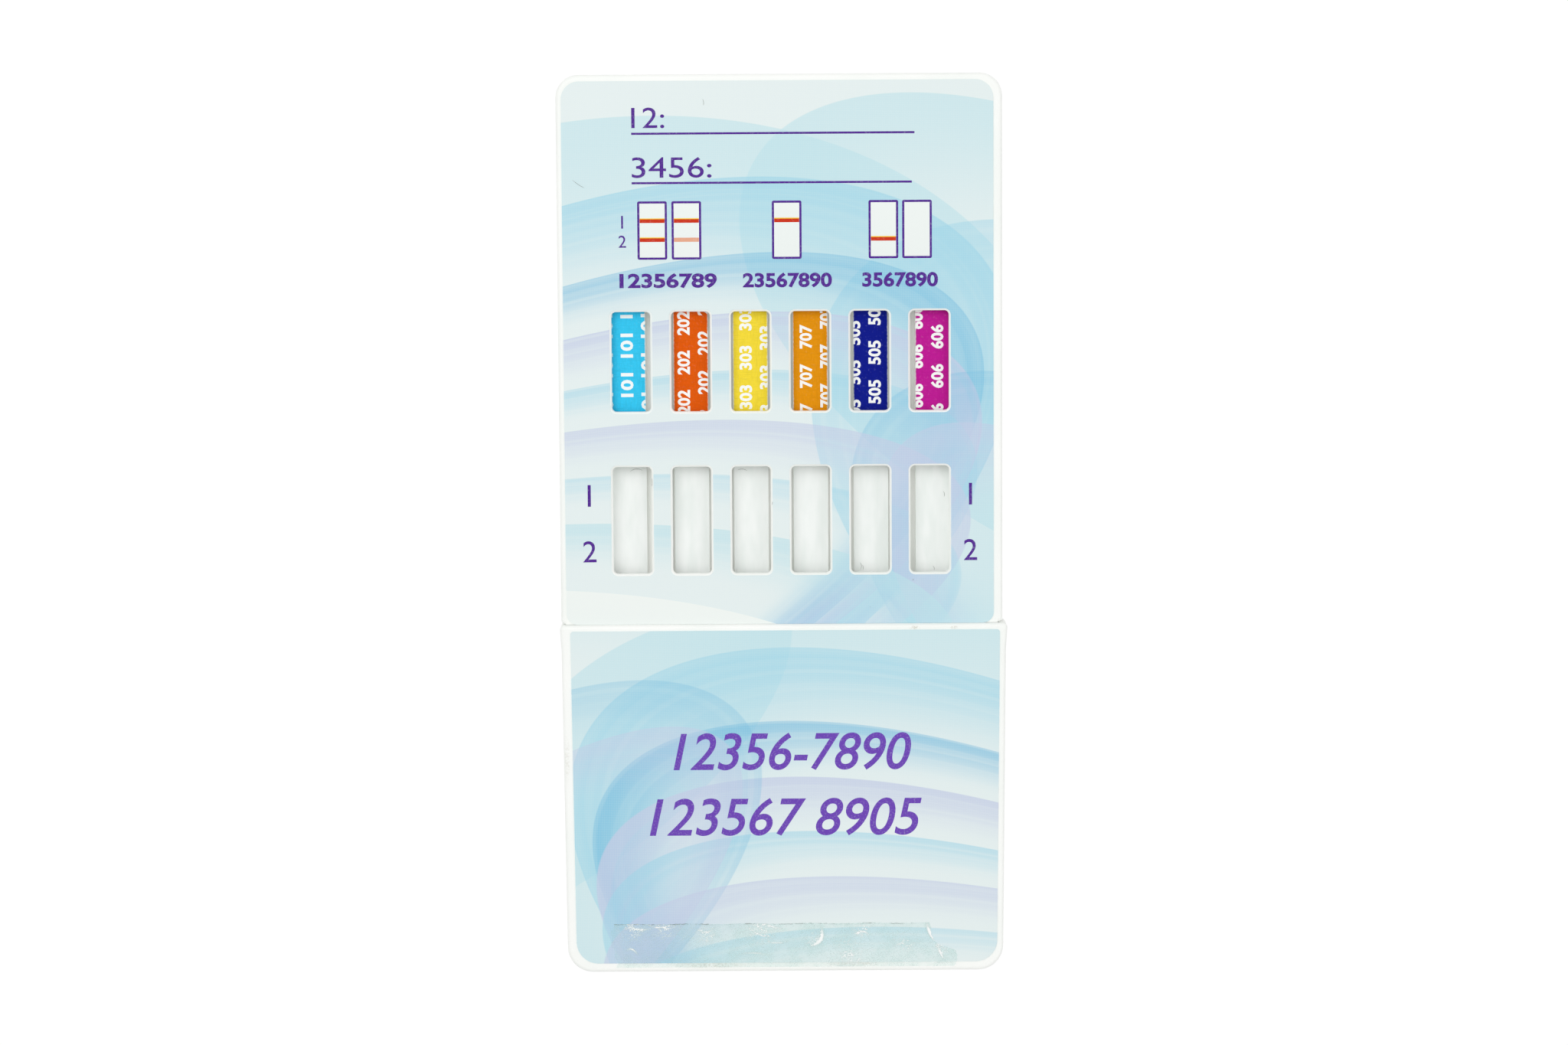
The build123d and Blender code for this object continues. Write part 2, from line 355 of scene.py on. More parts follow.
@dataclass(frozen=True)
class MouldedPlastic(Finish):
    """White moulded plastic: faintly clouded, with a fine satin grain and a little dust, and a painted glow
    low in the wells under the windows.
    """

    colour: Colour = paint(252, 253, 250)
    cloud: Colour = paint(247, 250, 246)
    dirt: Colour = paint(196, 192, 176)
    roughness: float = 0.36
    grain: float = 0.0025
    # Strength of the painted glow that the plastic emits in the wells under the windows.
    painted_glow_strength: float = 0.08
    well_floor: float = 0.7
    well_fade: tuple[float, float] = (3.9, 2.6)
    well_middle: float = 10.9
    well_half_width: float = 23.0
    well_half_length: float = 19.0
    well_margin: float = 0.5
    smudges: tuple[Smudge, ...] = ()

    def smudge(self, graph: Graph, smudge: Smudge) -> Value:
        """How dirty the plastic is by one smudge: a worn blot that fades from its middle."""
        place = graph.place((*smudge.middle, 0), smudge.turn, (*smudge.reach, FLAT))
        away = graph.reach(place)
        worn = graph.noise(graph.place(), 0.25, 4, 0.7).rise(0.4, 0.62)
        return away.rise(1, 0.2) * worn * smudge.strength

    def painted_glow(self, graph: Graph) -> Value:
        """A painted glow in the wells under the windows, stronger lower down, standing in for light that the
        thin plastic would let through.
        """
        x, y, height = graph.across(graph.place())
        depth = height.rise(*self.well_fade) * height.above(self.well_floor)
        wide = abs(x).rise(self.well_half_width + self.well_margin, self.well_half_width)
        far = abs(y - self.well_middle).rise(self.well_half_length + self.well_margin, self.well_half_length)
        return depth * wide * far * self.painted_glow_strength

    def describe(self, graph: Graph) -> dict[str, Any]:
        """Adds cloud, dust, dirt, grain and the painted glow to the plastic, and returns the shader's
        inputs.
        """
        place = graph.place()
        clouds = graph.noise(place, 14)
        dust = graph.specks(place, 5, 0.09, 0.12)
        grain = graph.noise(place, 0.12, 3)
        colour = graph.blend(clouds.rise(0.35, 0.7), self.colour, self.cloud)
        for smudge in self.smudges:
            colour = graph.blend(self.smudge(graph, smudge), colour, self.dirt)
        return {
            "Base Color": graph.blend(dust * 0.5, colour, DUST),
            "Roughness": clouds * 0.12 + self.roughness,
            "Normal": graph.bump(grain, self.grain),
            # Painted light: the emission makes the plastic in the wells under the windows glow.
            "Emission Color": graph.blend(self.painted_glow(graph), (0, 0, 0, 1), self.colour),
            "Emission Strength": 1.0,
        }


@dataclass(frozen=True)
class Veil:
    """A see-through oval of the printed pattern, crisp at its rim and fading inwards."""

    centre: Point
    radii: Point
    turn: float
    reach: float
    tint: Colour
    strength: float
    silk: float = 0.0


SKY = paint(140, 208, 230)
DEEP = paint(74, 180, 220)
ICE = paint(178, 222, 232)
LILAC = paint(188, 198, 228)
SNOW = paint(242, 247, 243)

FACE_VEILS = (
    Veil((-30, -2), (70, 52), 22, 34, ICE, 0.6),
    Veil((40, 22), (50, 26), -30, 26, ICE, 0.6),
    Veil((-38, -2), (74, 37), 27, 16, SKY, 0.7, 0.25),
    Veil((44, 2), (46, 30), -40, 15, SKY, 0.5, 0.2),
    Veil((-42, -6), (74, 30), 25, 9, DEEP, 0.7, 0.3),
    Veil((-41, -8), (71, 27), 21, 10, LILAC, 0.75, 0.3),
    Veil((-40, -10), (68, 24), 17, 8, SKY, 0.6, 0.35),
    Veil((48, -14), (46, 24), -38, 9, DEEP, 0.4, 0.35),
    Veil((-39, -12), (65, 22), 13, 10, LILAC, 0.65, 0.3),
    Veil((-38, -15), (62, 20), 9, 8, SKY, 0.45, 0.4),
    Veil((47, -20), (44, 19), -44, 11, LILAC, 0.55, 0.3),
    Veil((-37, -20), (60, 20), 5, 12, ICE, 0.7, 0.2),
    Veil((-38, -30), (56, 22), 2, 26, SNOW, 0.9),
    Veil((31.5, 60.5), (7.6, 5.2), 0, 9, SNOW, 0.95),
)
CAP_VEILS = (
    Veil((30, -56), (70, 42), -22, 34, ICE, 0.6),
    Veil((-38, -30), (44, 20), 30, 22, ICE, 0.55),
    Veil((36, -60), (70, 34), -28, 14, SKY, 0.7, 0.25),
    Veil((38, -64), (68, 29), -25, 9, DEEP, 0.7, 0.3),
    Veil((37, -66), (65, 26), -21, 10, LILAC, 0.75, 0.3),
    Veil((36, -68), (62, 23), -17, 8, SKY, 0.6, 0.35),
    Veil((-42, -52), (46, 22), 36, 9, DEEP, 0.35, 0.35),
    Veil((35, -70), (60, 21), -13, 10, LILAC, 0.65, 0.3),
    Veil((34, -73), (58, 19), -9, 8, SKY, 0.45, 0.4),
    Veil((-42, -58), (46, 17), 40, 10, LILAC, 0.5, 0.3),
    Veil((33, -78), (56, 19), -5, 12, ICE, 0.7, 0.2),
)


@dataclass(frozen=True)
class PrintedSheet(Finish):
    """Glossy printed label: overlapping see-through ovals under a fine dot screen."""

    veils: tuple[Veil, ...]
    paper: Colour = paint(228, 239, 239)
    rim_blur: float = 0.16
    screen_pitch: float = 0.21
    screen_depth: float = 0.3
    roughness: float = 0.3

    def veil(self, graph: Graph, under: Any, veil: Veil) -> Any:
        """Lays one oval over the colour under it.

        Args:
            graph: The nodes of the material.
            under: The colour under the oval.
            veil: The oval.

        Returns:
            The colour with the oval over it.
        """
        place = graph.place((*veil.centre, 0), veil.turn, (*veil.radii, FLAT))
        mean = sum(veil.radii) / 2
        away = graph.reach(place) * mean
        inside = mean - away
        mask = inside.rise(0, self.rim_blur) * inside.rise(veil.reach, 0) * veil.strength
        if veil.silk:
            threads = graph.value("ShaderNodeTexNoise", {"noise_dimensions": "1D"}, {
                "W": away, "Scale": 0.75, "Detail": 3
            })
            mask = mask * (1 - veil.silk * threads.rise(0.4, 0.72))
        return graph.blend(mask, under, veil.tint)

    def describe(self, graph: Graph) -> dict[str, Any]:
        """Adds the ovals, the dot screen and the sheen, and returns the shader's inputs."""
        place = graph.place()
        colour = self.paper
        for veil in self.veils:
            colour = self.veil(graph, colour, veil)
        x, y, _ = graph.across(graph.place(turn=45))
        turn = 2 * math.pi / self.screen_pitch
        dots = (x * turn).cosine() * (y * turn).cosine()
        colour = graph.blend((dots * 0.5 + 0.5) * self.screen_depth, colour, WHITE_INK)
        dust = graph.specks(place, 6, 0.13, 0.35)
        waves = graph.noise(place, 7)
        return {
            "Base Color": graph.blend(dust * 0.45, colour, DUST),
            "Roughness": waves * 0.14 + self.roughness,
            "Normal": graph.bump(waves + graph.noise(place, 0.5) * 0.08, 0.03),
            "Specular IOR Level": 0.3,
        }


@dataclass(frozen=True)
class Ink(Finish):
    """Printing ink: even, slightly mottled where the paper takes it up."""

    colour: Colour
    mottle: float = 0.16
    roughness: float = 0.34

    def describe(self, graph: Graph) -> dict[str, Any]:
        """Adds the mottle, and returns the shader's inputs."""
        place = graph.place()
        mottle = graph.noise(place, 0.22, 3).rise(0.5, 0.8) * self.mottle
        return {
            "Base Color": graph.blend(mottle, self.colour, WHITE_INK),
            "Roughness": mottle * 0.6 + self.roughness,
            "Specular IOR Level": 0.12,
        }


@dataclass(frozen=True)
class PaperTape(Finish):
    """Coloured paper tape: crossed fine grain, mottled dye and a pale cut edge."""

    colour: Colour
    centre: float
    half_width: float
    mottle: float = 0.3

    def describe(self, graph: Graph) -> dict[str, Any]:
        """Adds grain, mottle and cut edges, and returns the shader's inputs."""
        place = graph.place(centre=(self.centre, 0, 0))
        x, _, _ = graph.across(place)
        along = graph.noise(graph.place(stretch=(1, 9, 1)), 0.12, 2)
        crosswise = graph.noise(graph.place(stretch=(9, 1, 1)), 0.12, 2)
        grain = along.greater(crosswise)
        mottle = graph.noise(place, 0.35, 3)
        fray = graph.noise(place, 0.3, 3) * 0.16
        edge = (abs(x) + fray).rise(self.half_width - 0.06, self.half_width + 0.03)
        darker = tuple(channel * 0.62 for channel in self.colour[:3]) + (1.0,)
        dyed = graph.blend(grain.rise(0.42, 0.75) * self.mottle, self.colour, darker)
        dyed = graph.blend(mottle.rise(0.55, 0.8) * 0.05, dyed, WHITE_INK)
        return {
            "Base Color": graph.blend(edge * 0.75, dyed, WHITE_INK),
            "Roughness": grain * 0.2 + 0.45,
            "Normal": graph.bump(grain, 0.012),
            "Specular IOR Level": 0.08,
        }


@dataclass(frozen=True)
class Membrane(Finish):
    """Matt test membrane: smooth and nearly white, with soft greyer clouds along its length."""

    colour: Colour = paint(247, 250, 248)
    shade: Colour = paint(238, 243, 240)

    def describe(self, graph: Graph) -> dict[str, Any]:
        """Adds a soft cloud, a fine grain and stray specks, and returns the shader's inputs."""
        place = graph.place()
        cloud = graph.noise(graph.place(stretch=(1, 4, 1)), 1.6, 2)
        grain = graph.noise(place, 0.05, 3)
        specks = graph.specks(place, 2.2, 0.05, 0.25)
        clouded = graph.blend(cloud.rise(0.3, 0.7), self.colour, self.shade)
        return {
            "Base Color": graph.blend(specks * 0.35, clouded, DUST),
            "Roughness": grain * 0.2 + 0.62,
            "Normal": graph.bump(grain, 0.006),
        }


@dataclass(frozen=True)
class FibrePad(Finish):
    """Absorbent pad of laid fibres: crossed threads of two lengths and a soft nap."""

    colour: Colour = paint(246, 246, 240)
    shade: Colour = paint(226, 228, 220)
    fibre: float = 0.09

    def describe(self, graph: Graph) -> dict[str, Any]:
        """Adds the crossed fibres, and returns the shader's inputs."""
        slanted = graph.noise(graph.place(turn=28, stretch=(8, 1, 1)), self.fibre, 2)
        crossed = graph.noise(graph.place(turn=-41, stretch=(8, 1, 1)), self.fibre, 2)
        nap = graph.noise(graph.place(), 0.7, 3)
        fibres = slanted.greater(crossed)
        dark = fibres.rise(0.68, 0.4) * 0.7 + nap.rise(0.6, 0.3) * 0.3
        return {
            "Base Color": graph.blend(dark, self.colour, self.shade),
            "Roughness": 0.98 - fibres * 0.12,
            "Normal": graph.bump(fibres * 0.7 + nap * 0.5, 0.07),
        }


@dataclass(frozen=True)
class BackingCard(Finish):
    """Stiff backing card under a strip: ivory plastic with a faint calendered grain."""

    colour: Colour = paint(244, 245, 240)

    def describe(self, graph: Graph) -> dict[str, Any]:
        """Adds the rolled grain, and returns the shader's inputs."""
        grain = graph.noise(graph.place(stretch=(1, 12, 1)), 0.2, 2)
        return {
            "Base Color": graph.blend(grain * 0.25, self.colour, paint(228, 231, 226)),
            "Roughness": grain * 0.15 + 0.32,
            "Normal": graph.bump(grain, 0.004),
        }


@dataclass(frozen=True)
class ClearFilm(Finish):
    """Torn clear tape: see-through and faintly green, scuffed and creased white, dirty at its edge."""

    tint: Colour = paint(208, 238, 234)
    crease: Colour = paint(250, 252, 251)
    dirt: Colour = paint(116, 124, 114)
    clear_alpha: float = 0.12

    def map(self, graph: Graph, name: str) -> Value:
        """One of the film's own maps."""
        return Value(graph, graph.node("ShaderNodeAttribute", {"attribute_name": name}).outputs["Fac"])

    def scratches(self, graph: Graph, turn: float, size: float, width: float) -> Value:
        """Thin wandering white lines, where long noise passes through a half."""
        lines = graph.noise(graph.place(turn=turn, stretch=(2.5, 1, 1)), size, 3, 0.6)
        return abs(lines - 0.5).rise(width, width * 0.2)

    def describe(self, graph: Graph) -> dict[str, Any]:
        """Adds creases, scratches and edge dirt from the film's maps, and returns the inputs."""
        place = graph.place()
        scuffed = self.map(graph, "scuffed")
        lines = self.scratches(graph, 20, 0.9, 0.02).greater(self.scratches(graph, -35, 0.6, 0.016))
        mottle = graph.noise(place, 0.35, 4, 0.7).rise(0.52, 0.7)
        patches = graph.noise(place, 2.4, 3).rise(0.4, 0.7)
        scuffs = lines * (scuffed * 0.9 + 0.08) + mottle * (scuffed * 0.45 + patches * 0.2)
        white = (scuffs + self.map(graph, "crease") * 1.3).lesser(1)
        worn = graph.noise(place, 1.5, 5, 0.75).rise(0.44, 0.6)
        soil = self.map(graph, "edge") * (worn * 0.85 + 0.1)
        colour = graph.blend(white, self.tint, self.crease)
        cover = (white * 0.92 + soil * 0.5 + patches * 0.14 + self.clear_alpha).lesser(1)
        return {
            "Base Color": graph.blend(soil, colour, self.dirt),
            "Roughness": 0.14 + white * 0.4,
            "Alpha": cover * self.map(graph, "outer"),
            "Normal": graph.bump(graph.noise(place, 1.2, 2), 0.05),
            "Specular IOR Level": 0.3,
        }


@dataclass(frozen=True)
class Fibre(Finish):
    """A stray hair or paper fibre."""

    colour: Colour = paint(112, 116, 112)

    def describe(self, graph: Graph) -> dict[str, Any]:
        """Adds light and dark lengths, and returns the shader's inputs."""
        lengths = graph.noise(graph.place(), 0.3, 1)
        return {"Base Color": graph.blend(lengths, self.colour, paint(176, 180, 174)), "Roughness": 0.6}


@dataclass
class Surface:
    """A mesh in millimetres, before it becomes an object."""

    vertices: np.ndarray
    faces: list[Sequence[int]]
    attributes: dict[str, np.ndarray] = field(default_factory=dict)

    def build(self, name: str, finish: bpy.types.Material, body: str, slot: str) -> bpy.types.Object:
        """Makes the object of this mesh.

        Args:
            name: The object's name.
            finish: Its material.
            body: The body that it rides on.
            slot: The material slot of the record that it stands for; it is not used.

        Returns:
            The new object, at the origin, with its place in its mesh.
        """
        mesh = bpy.data.meshes.new(name)
        mesh.from_pydata((self.vertices * MM).tolist(), [], self.faces)
        for attribute, values in self.attributes.items():
            layer = mesh.attributes.new(attribute, "FLOAT", "POINT")
            layer.data.foreach_set("value", values.astype(np.float32))
        mesh.validate()
        mesh.shade_smooth()
        mesh.set_sharp_from_angle(angle=math.radians(40))
        mesh.materials.append(finish)
        piece = bpy.data.objects.new(name, mesh)
        bpy.context.scene.collection.objects.link(piece)
        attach(piece, body)
        LOG.info("%s: %d faces, rides on %s", name, len(mesh.polygons), body)
        return piece


def swept(rings: np.ndarray, closed: bool = False) -> Surface:
    """Joins a row of rings into a closed skin.

    Each face joins neighbouring points of neighbouring rings, in the order that faces it out
    where a ring runs anticlockwise seen against the direction of the row. An open row gets
    its first and last ring as end faces, and a closed row is joined round on itself.

    Args:
        rings: The rings' points, as an array of rings by points by three.
        closed: Whether the last ring joins the first.

    Returns:
        The skin.
    """
    count, points, _ = rings.shape
    ring = np.arange(count if closed else count - 1)[:, None]
    point = np.arange(points)[None, :]
    onward = (ring + 1) % count
    beside = (point + 1) % points
    corners = [(ring, point), (ring, beside), (onward, beside), (onward, point)]
    numbers = [row * points + column for row, column in corners]
    faces = np.stack(np.broadcast_arrays(*numbers), axis=-1).reshape(-1, 4).tolist()
    if not closed:
        faces.append(list(range(points))[::-1])
        faces.append(list(range((count - 1) * points, count * points)))
    return Surface(rings.reshape(-1, 3), faces)


def sheet(top: np.ndarray, under: np.ndarray) -> Surface:
    """Joins an upper and a lower grid of points into a thin closed sheet.

    Each face joins four neighbours of a grid, the lower grid's faces run the other way
    round, and the wall joins the two grids' border points, taken anticlockwise.

    Args:
        top: The upper points, as an array of columns from left to right by rows from the
            far edge to the near one by three.
        under: The lower points, in the same order.

    Returns:
        The sheet.
    """
    columns, rows, _ = top.shape
    number = np.arange(columns * rows).reshape(columns, rows)
    upper = np.stack([number[:-1, :-1], number[:-1, 1:], number[1:, 1:], number[1:, :-1]], axis=-1)
    upper = upper.reshape(-1, 4)
    lower = upper[:, ::-1] + columns * rows
    border = np.concatenate([number[0, :-1], number[:-1, -1], number[-1, :0:-1], number[:0:-1, 0]])
    onward = np.roll(border, -1)
    wall = np.stack([border, border + columns * rows, onward + columns * rows, onward], axis=-1)
    points = np.concatenate([top.reshape(-1, 3), under.reshape(-1, 3)])
    return Surface(points, np.concatenate([upper, lower, wall]).tolist())


def rounded_outline(
    left: float, right: float, low: float, high: float, radius: float, steps: int = 5
) -> np.ndarray:
    """Outline of a rectangle with round corners, anticlockwise.

    Corner number k has its centre one radius inside the corner, and its points stand at one
    radius from that centre at angles from k to k + 1 quarter turns.

    Args:
        left, right, low, high: The rectangle's sides.
        radius: The corner radius.
        steps: How many points each corner has.

    Returns:
        The points, as an array of points by two.
    """
    centres = np.array([
        (right - radius, high - radius), (left + radius, high - radius),
        (left + radius, low + radius), (right - radius, low + radius),
    ])
    angles = (np.arange(4)[:, None] + np.linspace(0, 1, steps)[None, :]) * math.pi / 2
    round_part = radius * np.stack([np.cos(angles), np.sin(angles)], axis=-1)
    return (centres[:, None, :] + round_part).reshape(-1, 2)


def patch(outline: np.ndarray, base: float, height: float, inset: float = 0.02) -> Surface:
    """A flat printed patch with a soft upper edge.

    Its rings are the outline at its base, the outline at half its height, and the outline
    drawn in by the inset at its full height.

    Args:
        outline: The patch's outline, anticlockwise.
        base: The height that it lies on.
        height: Its thickness.
        inset: How far its upper edge is drawn in.

    Returns:
        The closed patch.
    """
    middle = outline.mean(axis=0)
    reach = np.abs(outline - middle).max(axis=0)
    drawn_in = middle + (outline - middle) * (1 - inset / reach)
    levels = ((outline, 0.0), (outline, 0.5), (drawn_in, 1.0))
    rings = [np.column_stack([ring, np.full(len(ring), base + share * height)]) for ring, share in levels]
    return swept(np.array(rings))


def bead(path: np.ndarray, width: float, base: float, height: float, closed: bool) -> Surface:
    """A printed line: a low arched profile carried along a path on a flat face.

    The profile's point at angle a stands cos(a) half widths to the side of the path and
    sin(a) heights over the base, and its two lowest points close it at the base.

    Args:
        path: The line's centre, as an array of points by two.
        width: The line's width.
        base: The height that it lies on.
        height: Its thickness.
        closed: Whether the path joins itself.

    Returns:
        The closed line.
    """
    if closed:
        ahead = np.roll(path, -1, axis=0) - np.roll(path, 1, axis=0)
    else:
        ahead = np.gradient(path, axis=0)
    ahead = ahead / np.linalg.norm(ahead, axis=1, keepdims=True)
    side = np.column_stack([ahead[:, 1], -ahead[:, 0]])
    angles = np.linspace(0, math.pi, 7)
    offsets = np.cos(angles) * width / 2
    heights = base + np.sin(angles) ** 0.5 * height
    plan = path[:, None, :] + side[:, None, :] * offsets[None, :, None]
    levels = np.broadcast_to(heights[None, :, None], (*plan.shape[:2], 1))
    return swept(np.concatenate([plan, levels], axis=2), closed)


def tube(path: np.ndarray, radius: float, sides: int = 6) -> Surface:
    """A thin round hair along a path.

    Each ring's point at angle a stands cos(a) radii to the side and sin(a) radii over the
    path, and the radius tapers to a third at both ends.

    Args:
        path: The hair's centre, as an array of points by three.
        radius: Its radius at the middle.
        sides: How many points each ring has.

    Returns:
        The closed hair.
    """
    ahead = np.gradient(path, axis=0)
    ahead = ahead / np.linalg.norm(ahead, axis=1, keepdims=True)
    side = np.cross(ahead, (0, 0, 1))
    side = side / np.linalg.norm(side, axis=1, keepdims=True)
    up = np.cross(side, ahead)
    angles = np.linspace(0, 2 * math.pi, sides, endpoint=False)
    taper = radius * (1 - 0.67 * np.abs(np.linspace(-1, 1, len(path))) ** 3)
    sideways = side[:, None, :] * np.cos(angles)[None, :, None]
    upward = up[:, None, :] * np.sin(angles)[None, :, None]
    return swept(path[:, None, :] + (sideways + upward) * taper[:, None, None])


def bow(start: Sequence[float], bend: Sequence[float], end: Sequence[float], steps: int = 14) -> np.ndarray:
    """Points of a curve that leaves one point, is drawn towards a second and ends at a third.

    At a share t of the way, the point is (1-t)^2 start + 2t(1-t) bend + t^2 end.

    Args:
        start, bend, end: The three points.
        steps: How many points the curve has.

    Returns:
        The points, as an array.
    """
    share = np.linspace(0, 1, steps)[:, None]
    given = (np.array(start), np.array(bend), np.array(end))
    return (1 - share) ** 2 * given[0] + 2 * share * (1 - share) * given[1] + share ** 2 * given[2]


def smooth(share: np.ndarray) -> np.ndarray:
    """A smooth S over the shares from nought to one, level before and past them."""
    held = np.clip(share, 0, 1)
    return held * held * (3 - 2 * held)


def taken(shape: bmesh.types.BMesh) -> tuple[np.ndarray, list[list[int]]]:
    """Takes the points and faces out of an edit mesh, and frees it."""
    shape.verts.index_update()
    points = np.array([vertex.co[:] for vertex in shape.verts])
    faces = [[vertex.index for vertex in face.verts] for face in shape.faces]
    shape.free()
    return points, faces


class Stroke(Enum):
    """How heavy a printed figure is, as the offset of its outline in letter sizes."""

    PLAIN = 0.0
    SOLID = 0.008
    BOLD = 0.032
    CONDENSED = 0.034


@dataclass(frozen=True)
class Figures:
    """A row of plain figures, as a mesh that is one unit wide and one unit high."""

    text: str
    stroke: Stroke = Stroke.PLAIN
    slant: float = 0.0
    smoothness: int = 5

    def mesh(self) -> tuple[Surface, float]:
        """Makes the figures' mesh from a text curve that is deleted afterwards.

        Returns:
            The mesh, with its three coordinates from nought to one, and the width of the row
            for a height of one.
        """
        curve = bpy.data.curves.new("figures", "FONT")
        curve.body = self.text
        curve.extrude = 0.02
        curve.offset = self.stroke.value
        curve.shear = self.slant
        curve.resolution_u = self.smoothness
        holder = bpy.data.objects.new("figures", curve)
        bpy.context.scene.collection.objects.link(holder)
        shown = holder.evaluated_get(bpy.context.evaluated_depsgraph_get())
        flat = bpy.data.meshes.new_from_object(shown)
        shape = bmesh.new()
        shape.from_mesh(flat)
        bmesh.ops.remove_doubles(shape, verts=shape.verts, dist=1e-5)
        bmesh.ops.dissolve_degenerate(shape, edges=shape.edges, dist=1e-5)
        bmesh.ops.recalc_face_normals(shape, faces=shape.faces)
        points, faces = taken(shape)
        bpy.data.objects.remove(holder)
        bpy.data.curves.remove(curve)
        bpy.data.meshes.remove(flat)
        low, high = points.min(axis=0), points.max(axis=0)
        size = high - low
        return Surface((points - low) / size, faces), float(size[0] / size[1])

    def placed(self, corner: Sequence[float], along: Point, up: Point, height: float) -> Surface:
        """Lays the figures on a flat face.

        Args:
            corner: The place of the row's lower left corner, as three coordinates.
            along: The row's length, as a vector on the face.
            up: The figures' height, as a vector on the face.
            height: The ink's thickness.

        Returns:
            The figures in place.
        """
        unit, _ = self.mesh()
        axes = np.array([(*along, 0), (*up, 0), (0, 0, height)])
        return Surface(unit.vertices @ axes + np.array(corner), unit.faces)

    def centred(self, x: float, low: float, high: float, base: float, height: float) -> Surface:
        """Lays the figures in their own proportions with their middle at a place.

        Args:
            x: The middle of the row.
            low, high: The figures' foot and head.
            base: The height that they lie on.
            height: The ink's thickness.

        Returns:
            The figures in place.
        """
        unit, proportion = self.mesh()
        width = (high - low) * proportion
        axes = np.diag([width, high - low, height])
        return Surface(unit.vertices @ axes + np.array([x - width / 2, low, base]), unit.faces)


def clipped(surface: Surface, low: Point, high: Point) -> Surface:
    """Cuts a mesh off at the four sides of a rectangle and closes the cuts.

    Args:
        surface: The mesh.
        low: The rectangle's lower left corner.
        high: Its upper right corner.

    Returns:
        What lies inside the rectangle.
    """
    shape = bmesh.new()
    corners = [shape.verts.new(point) for point in surface.vertices.tolist()]
    for face in surface.faces:
        shape.faces.new([corners[corner] for corner in face])
    for point, outward in ((low, (-1, 0, 0)), (low, (0, -1, 0)), (high, (1, 0, 0)), (high, (0, 1, 0))):
        cut = bmesh.ops.bisect_plane(
            shape, geom=[*shape.verts, *shape.edges, *shape.faces], dist=1e-5,
            plane_co=(*point, 0), plane_no=outward, clear_outer=True,
        )
        edges = [part for part in cut["geom_cut"] if isinstance(part, bmesh.types.BMEdge)]
        bmesh.ops.holes_fill(shape, edges=edges, sides=0)
    bmesh.ops.recalc_face_normals(shape, faces=shape.faces)
    return Surface(*taken(shape))


def box_mm(node: str) -> tuple[np.ndarray, np.ndarray]:
    """Lowest and highest corner of a CAD node, in millimetres."""
    low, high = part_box(node)
    return np.array(low) / MM, np.array(high) / MM


def joined(surfaces: Sequence[Surface]) -> Surface:
    """All the given meshes in one, with each mesh's faces counted on from the vertices before it."""
    firsts = np.cumsum([0] + [len(surface.vertices) for surface in surfaces]).tolist()
    faces = [
        tuple(corner + first for corner in face)
        for first, surface in zip(firsts, surfaces) for face in surface.faces
    ]
    return Surface(np.concatenate([surface.vertices for surface in surfaces]), faces)


@dataclass
class Mouldings:
    """The moulded tray, plate and cap, which keep their CAD shape and get their finish."""

    nodes: tuple[str, ...] = ("base_tray", "window_plate", "cap_shell")
    plastic: Finish = MouldedPlastic(smudges=(
        Smudge((17.1, -13.1), (0.9, 0.35), 0.7),
        Smudge((22.2, -13.1), (0.8, 0.3), 0.6),
        Smudge((-9.5, -57.2), (6.5, 0.5), 0.5),
        Smudge((9.0, -57.1), (5.0, 0.45), 0.45),
        Smudge((-27.9, -30.0), (0.5, 4.0), 0.3),
    ))
    lip_inset: float = 0.6
    lip_width: float = 0.55
    lip_depth: float = 0.7
    lip_corner: float = 0.05
    lip_below: float = 0.005

    def shoulder_lip(self) -> Surface:
        """Square front edge of the plate above the cap's mouth.

        A bar with the length of the shoulder's straight part, from just above the cap's end
        face to inside the plate, with its top a hair under the plate's face.
        """
        plate_low, plate_high = box_mm("window_plate")
        mouth = box_mm("cap_shell")[1][1] + self.lip_below
        left = plate_low[0] + self.lip_inset
        right = plate_high[0] - self.lip_inset
        outline = rounded_outline(left, right, mouth, mouth + self.lip_width, self.lip_corner)
        base = plate_high[2] - self.lip_below - self.lip_depth
        return patch(outline, base, self.lip_depth)

    def dress(self) -> None:
        """Gives each moulding the white plastic, and the plate its square edge."""
        finish = self.plastic.material("white_plastic")
        for node in self.nodes:
            dress_node(node, finish)
        self.shoulder_lip().build("shoulder_lip", finish, "card", "white_plastic")


def dress_node(node: str, finish: bpy.types.Material) -> None:
    """Gives a CAD node a finish.

    Args:
        node: The node's name.
        finish: The material for all its faces.
    """
    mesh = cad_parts[node].data
    mesh.materials.clear()
    mesh.materials.append(finish)
    LOG.info("%s: finish %s", node, finish.name)


